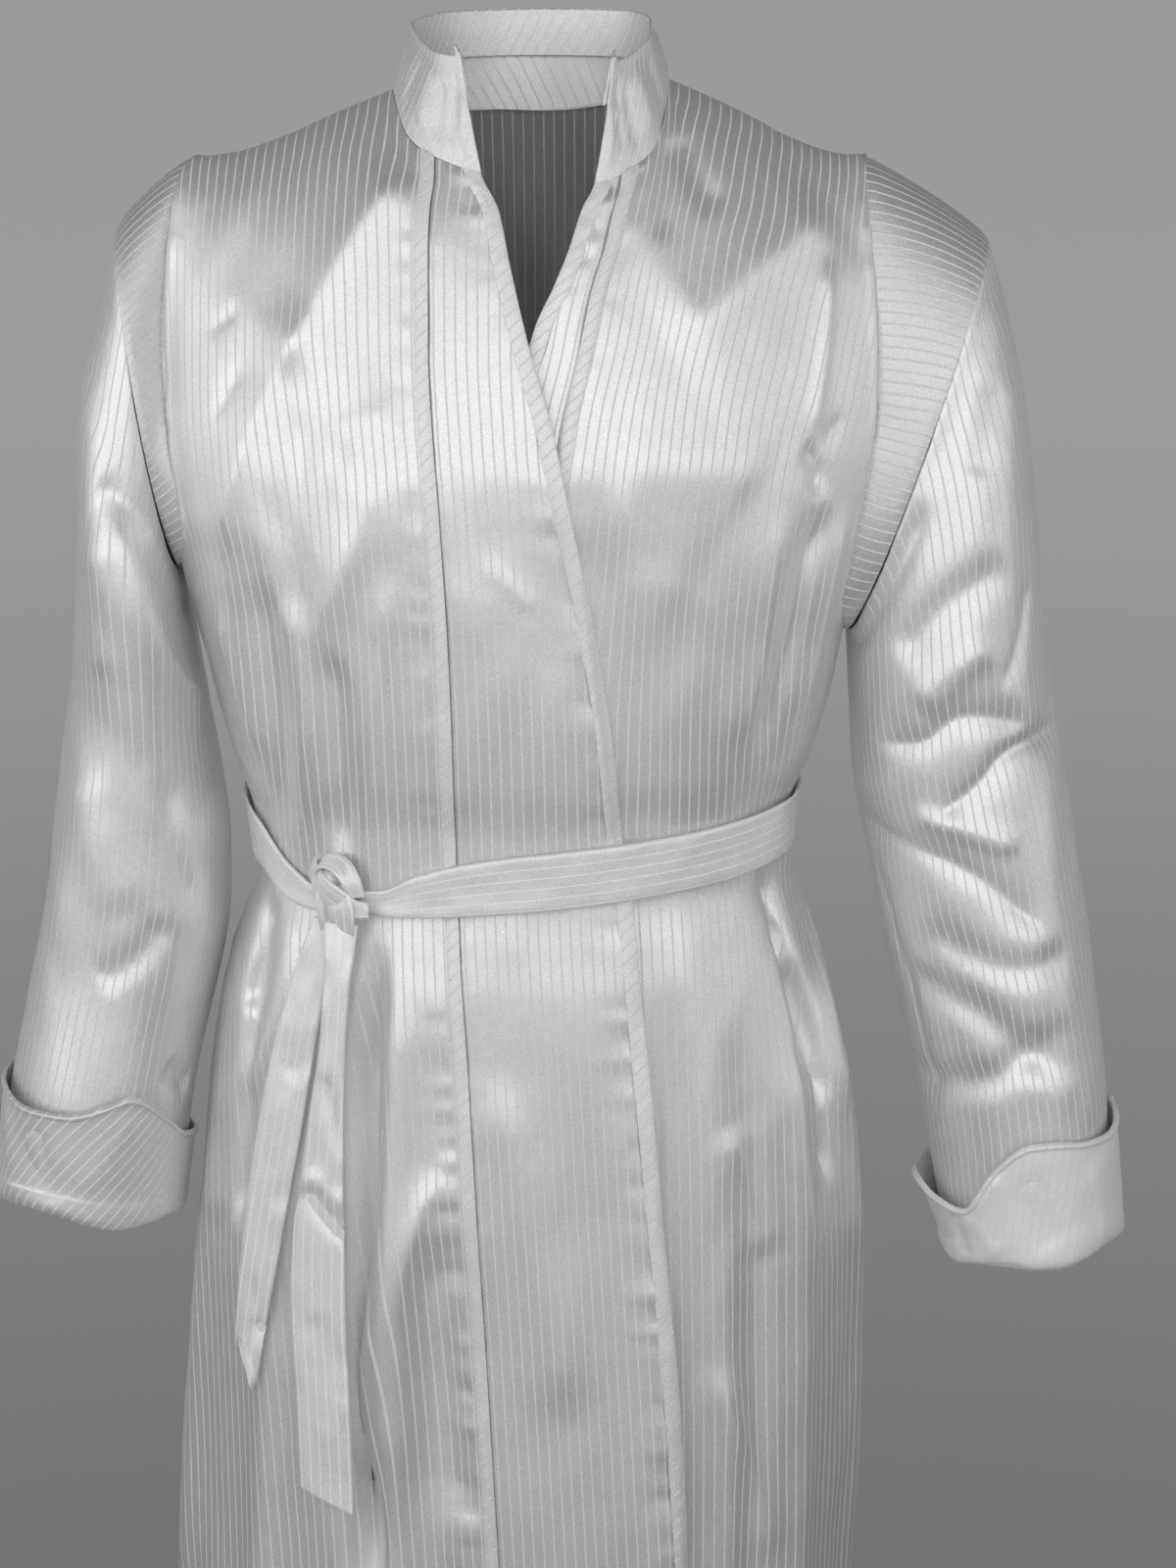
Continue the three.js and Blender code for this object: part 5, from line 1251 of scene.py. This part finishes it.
def make_collar(right, back, left):
    neck = len(BAND_LINES) + int(round(NECK_SHARE * PANEL_STEPS))
    middle = BACK_STEPS // 2
    reach = int(round(NECK_SHARE * BACK_STEPS / 2))
    seam = np.concatenate([
        right["base"][0, :neck],
        back["base"][0, middle - reach + 1:middle + reach],
        left["base"][0, :neck][::-1],
    ])
    lengths = path_lengths(seam)
    even = np.linspace(0, lengths[-1], COLLAR_STEPS)
    seam = np.stack([np.interp(even, lengths, seam[:, k]) for k in range(3)], -1)
    turn = even / lengths[-1]
    top = np.stack([read(COLLAR_TOP, "turn", n, turn) for n in "xyz"], -1)
    away = np.minimum(even, even[-1] - even)
    rows = []
    for up in COLLAR_ROWS:
        row = mix(seam + (0, 0, 0.3), top, up)
        out = unit(np.stack([row[:, 0] - 3, row[:, 1], 0 * turn], -1))
        bulge = 1.6 * math.sin(math.pi * up) + 1.2 * np.sin(turn * 31) * up
        bulge = bulge + 0.5 * soft_noise(even / 17, even * 0 + up * 3, 301)
        bulge = bulge + crease_lines(COLLAR_CREASES, away, 0 * away + COLLAR_CLOTH * up, lambda u, v: (u, v))
        bulge = bulge + 0.9 * bell(1 - up, 0.05)
        tip = 3.6 * bell(away - 1.5, 2.4) * ease((up - 0.8) / 0.2)
        rows.append(row + out * bulge[:, None] + tip[:, None] * (0, 0, 1))
    points = np.array(rows)
    flat = np.zeros(points.shape[:2])
    uv = np.stack([even[None, :] + flat, COLLAR_CLOTH * COLLAR_ROWS[:, None] + flat], -1)
    grid = [points, grid_normals(points, False, 1), uv]
    for side, reach in (("end", 26), ("first", EDGE_TURN), ("last", EDGE_TURN)):
        grid = turned_edge(grid, side, reach)
    sew("collar", COLLAR, grid)


# belt, knot and hanging ends

def section_loop(count):
    """Flat rounded loop: across from -1 to 1 and face from 0 (inside) to 1 (outside)."""
    across = np.linspace(-1, 1, count // 2)
    curve = np.sign(across) * (1 - (1 - np.abs(across)) ** 1.25)
    bulge = np.sqrt(np.maximum(0, 1 - np.abs(curve) ** 10))
    outer = np.stack([curve, 0.5 + 0.5 * bulge], -1)
    inner = np.stack([curve[::-1], 0.5 - 0.5 * bulge[::-1]], -1)
    return np.concatenate([outer, inner[1:]])


LOOP = section_loop(28)


def outward(turn):
    return np.stack([np.sin(turn), -np.cos(turn), 0 * turn], -1)


def make_belt():
    a = KNOT_ANGLE + 3 + np.linspace(0, BELT_SWEEP, BELT_STEPS)
    a = np.where(a > 180, a - 360, a)
    z, wide = (read(BELT, "a", name, a) for name in ("z", "wide"))
    length = np.linspace(0, BELT_ROUND, len(a))
    rows = []
    for across, face in LOOP:
        wave = 0.5 * soft_noise(length / 26, across * 1.2 + 0 * a, 331)
        wave = wave + 0.35 * soft_noise(length / 9, across * 2 + 0 * a, 332)
        off = BELT_CLEAR + BELT_WALL * face + wave * face
        rows.append(raise_points(folded_point(a, z + across * wide / 2), outward(np.radians(a)), off))
    points = np.array(rows)
    v = (LOOP[:, 0] * BELT_HALF)[:, None] + 0 * points[..., 0]
    grid = [points, None, np.stack([v, length[None, :] + 0 * v], -1)]
    sew("belt", BELT_CLOTH, grid)


def ribbon_grid(centre, across, out, wide, wall, seed, parts):
    """Points and flat cloth coordinates of a sewn tube of cloth laid along a path."""
    centre = smooth_path(centre, parts)
    across = unit(smooth_path(across, parts))
    out = unit(smooth_path(out, parts))
    wide = smooth_path(np.array(wide, float)[:, None], parts)[:, 0]
    length = path_lengths(centre)
    rows = []
    for side, face in LOOP:
        wave = 0.7 * soft_noise(length / 17, side * 1.2 + 0 * length, seed) * face
        lift = wall * (face - 0.5) + wave
        rows.append(centre + across * (side * wide / 2)[:, None] + out * lift[:, None])
    v = LOOP[:, 0][:, None] * (wide / 2)[None, :]
    return np.array(rows), np.stack([v, length[None, :] + 0 * v], -1)


def make_end(node, source, seed, creases, cut):
    """A belt end: it hangs a little turned to the front, its foot cut at a slant."""
    x, z, wide = source["x"], source["z"], source["wide"]
    turn = np.radians(angle_of(x, z))
    centre = raise_points(folded_point(angle_of(x, z), z), outward(turn), source["off"] + BELT_WALL / 2)
    turn = turn * END_TURN
    across = np.stack([np.cos(turn), np.sin(turn), 0 * turn], -1)
    points, uv = ribbon_grid(centre, across, outward(turn), wide, BELT_WALL, seed, 26)
    foot = ease((points[..., 2] - z[-2]) / (z[-1] - z[-2]))
    points[..., 2] -= foot * cut * (points[..., 0] - x[-1]) / wide[-1]
    folds = crease_lines(creases, points[..., 0], points[..., 2], lambda x, z: (x, z))
    stitches = -0.9 * bell(np.abs(uv[..., 0]) - wide.mean() / 2 + 3.5, 1.2) * (uv[..., 0] > 0)
    points[..., 1] -= (folds + stitches) * np.clip(LOOP[:, 1], 0, 1)[:, None]
    sew(node, BELT_CLOTH, [points, None, uv])


def make_knot():
    a = np.array([KNOT_ANGLE])
    turn = math.radians(KNOT_ANGLE)
    out = np.array([math.sin(turn), -math.cos(turn), 0])
    axes = np.array([[math.cos(turn), math.sin(turn), 0], [0, 0, 1], out])
    middle = folded_point(a, read(BELT, "a", "z", a) + KNOT_LIFT)[0] + out * (BELT_CLEAR + BELT_WALL + 1.0)
    spots, faces, corners = [], [], []
    first = 0
    for number, (line, side, facing, wide) in enumerate(KNOT_STRANDS):
        line, side, facing = (np.array(steps, float) @ axes for steps in (line, side, facing))
        points, uv = ribbon_grid(middle + line, side, facing, wide, 2.2, 371 + number, 12)
        quads = grid_faces(*points.shape[:2])
        corners.append(uv.reshape(-1, 2)[quads])
        faces.append(quads + first)
        spots.append(points.reshape(-1, 3))
        first += len(spots[-1])
    spots, faces, corners = (np.concatenate(parts) for parts in (spots, faces, corners))
    add_piece("belt_knot", BELT_CLOTH, spots, faces, corners)


surfaces = {side: front_surface(side) for side in SIDES}
for side in SIDES:
    make_front(side, surfaces[side])
back_surface = make_back()
for side in SIDES:
    make_armhole_band(side, surfaces[side], back_surface)
    make_sleeve(side)
for side in SIDES:
    make_cuff(side)
make_collar(surfaces["right"], back_surface, surfaces["left"])
make_belt()
make_knot()
make_end("belt_end_back", END_BACK, 351, END_CREASES_BACK, 26)
make_end("belt_end_front", END_FRONT, 361, END_CREASES_FRONT, 14)


# floor, light and camera, in metres

FLOOR_Z = -1.42
FLOOR_TONE = 0.2
floor_material = bpy.data.materials.new("floor_grey")
floor_material.use_nodes = True
floor_shader = floor_material.node_tree.nodes["Principled BSDF"]
floor_shader.inputs["Base Color"].default_value = (FLOOR_TONE, FLOOR_TONE, FLOOR_TONE, 1)
floor_shader.inputs["Roughness"].default_value = 0.7
floor_mesh = bpy.data.meshes.new("floor")
floor_corners = [(x, y, FLOOR_Z) for x, y in ((-3, -3.6), (3, -3.6), (3, 0.8), (-3, 0.8))]
floor_mesh.from_pydata(floor_corners, [], [(0, 1, 2, 3)])
floor_mesh.materials.append(floor_material)
floor = bpy.data.objects.new("floor", floor_mesh)
bpy.context.scene.collection.objects.link(floor)

# name, place, aim, width and height, power
LIGHTS = [
    ("window", (-0.1, -1.9, 0.45), (0, 0, 0.1), (5.0, 1.85), 40),
    ("low_panel", (-0.1, -1.9, -0.85), (0, 0, -0.6), (5.0, 0.6), 0.9),
    ("floor_panel", (-0.1, -1.35, -1.3), (0, 0, -0.35), (4.0, 0.9), 3.8),
    ("right_side", (2.7, -1.0, 0.3), (0, 0, -0.1), (1.6, 2.0), 9),
    ("left_side", (-2.7, -1.0, 0.35), (0, 0, -0.1), (2.2, 2.0), 14),
]
for name, place, aim, size, power in LIGHTS:
    light = bpy.data.lights.new(name, "AREA")
    light.shape = "RECTANGLE"
    light.size, light.size_y = size
    light.energy = power
    holder = bpy.data.objects.new(name, light)
    bpy.context.scene.collection.objects.link(holder)
    holder.location = place
    holder.visible_camera = False
    holder.rotation_euler = (Vector(aim) - Vector(place)).to_track_quat("-Z", "Y").to_euler()

# the room by height: dark floor, grey wall, dark ceiling
WORLD_TONES = ((0.22, 0.15), (0.36, 0.24), (0.46, 0.34), (0.56, 0.32), (0.75, 0.10))
world = bpy.data.worlds.new("studio")
bpy.context.scene.world = world
world.use_nodes = True
tree = world.node_tree
background = tree.nodes["Background"]
direction = add_node(tree, "ShaderNodeTexCoord")
split = add_node(tree, "ShaderNodeSeparateXYZ", {0: direction.outputs["Generated"]})
height_share = math_node(tree, "MULTIPLY_ADD", split.outputs[2], 0.5, 0.5)
ramp = add_node(tree, "ShaderNodeValToRGB", {0: height_share})
elements = ramp.color_ramp.elements
elements[0].position, elements[0].color = 0.0, (0.04, 0.04, 0.04, 1)
elements[1].position, elements[1].color = 1.0, (0.07, 0.07, 0.07, 1)
for position, tone in WORLD_TONES:
    stop = elements.new(position)
    stop.color = (tone, tone, tone * 0.985, 1)
tree.links.new(ramp.outputs[0], background.inputs[0])
# the room is darker in front of the robe than the wall behind it
wall_side = smooth_range(tree, split.outputs[1], -0.35, 0.35, 0.26, 1.0)
tree.links.new(wall_side, background.inputs[1])

camera_data = bpy.data.cameras.new("camera")
camera_data.lens = 58.5
camera_data.sensor_width = 36
camera_data.sensor_fit = "AUTO"
camera = bpy.data.objects.new("camera", camera_data)
camera.location = (0.036, -1.530, -0.041)
camera.rotation_euler = (math.radians(77), 0, 0)
bpy.context.scene.collection.objects.link(camera)
bpy.context.scene.camera = camera
bpy.context.scene.view_settings.view_transform = "Standard"
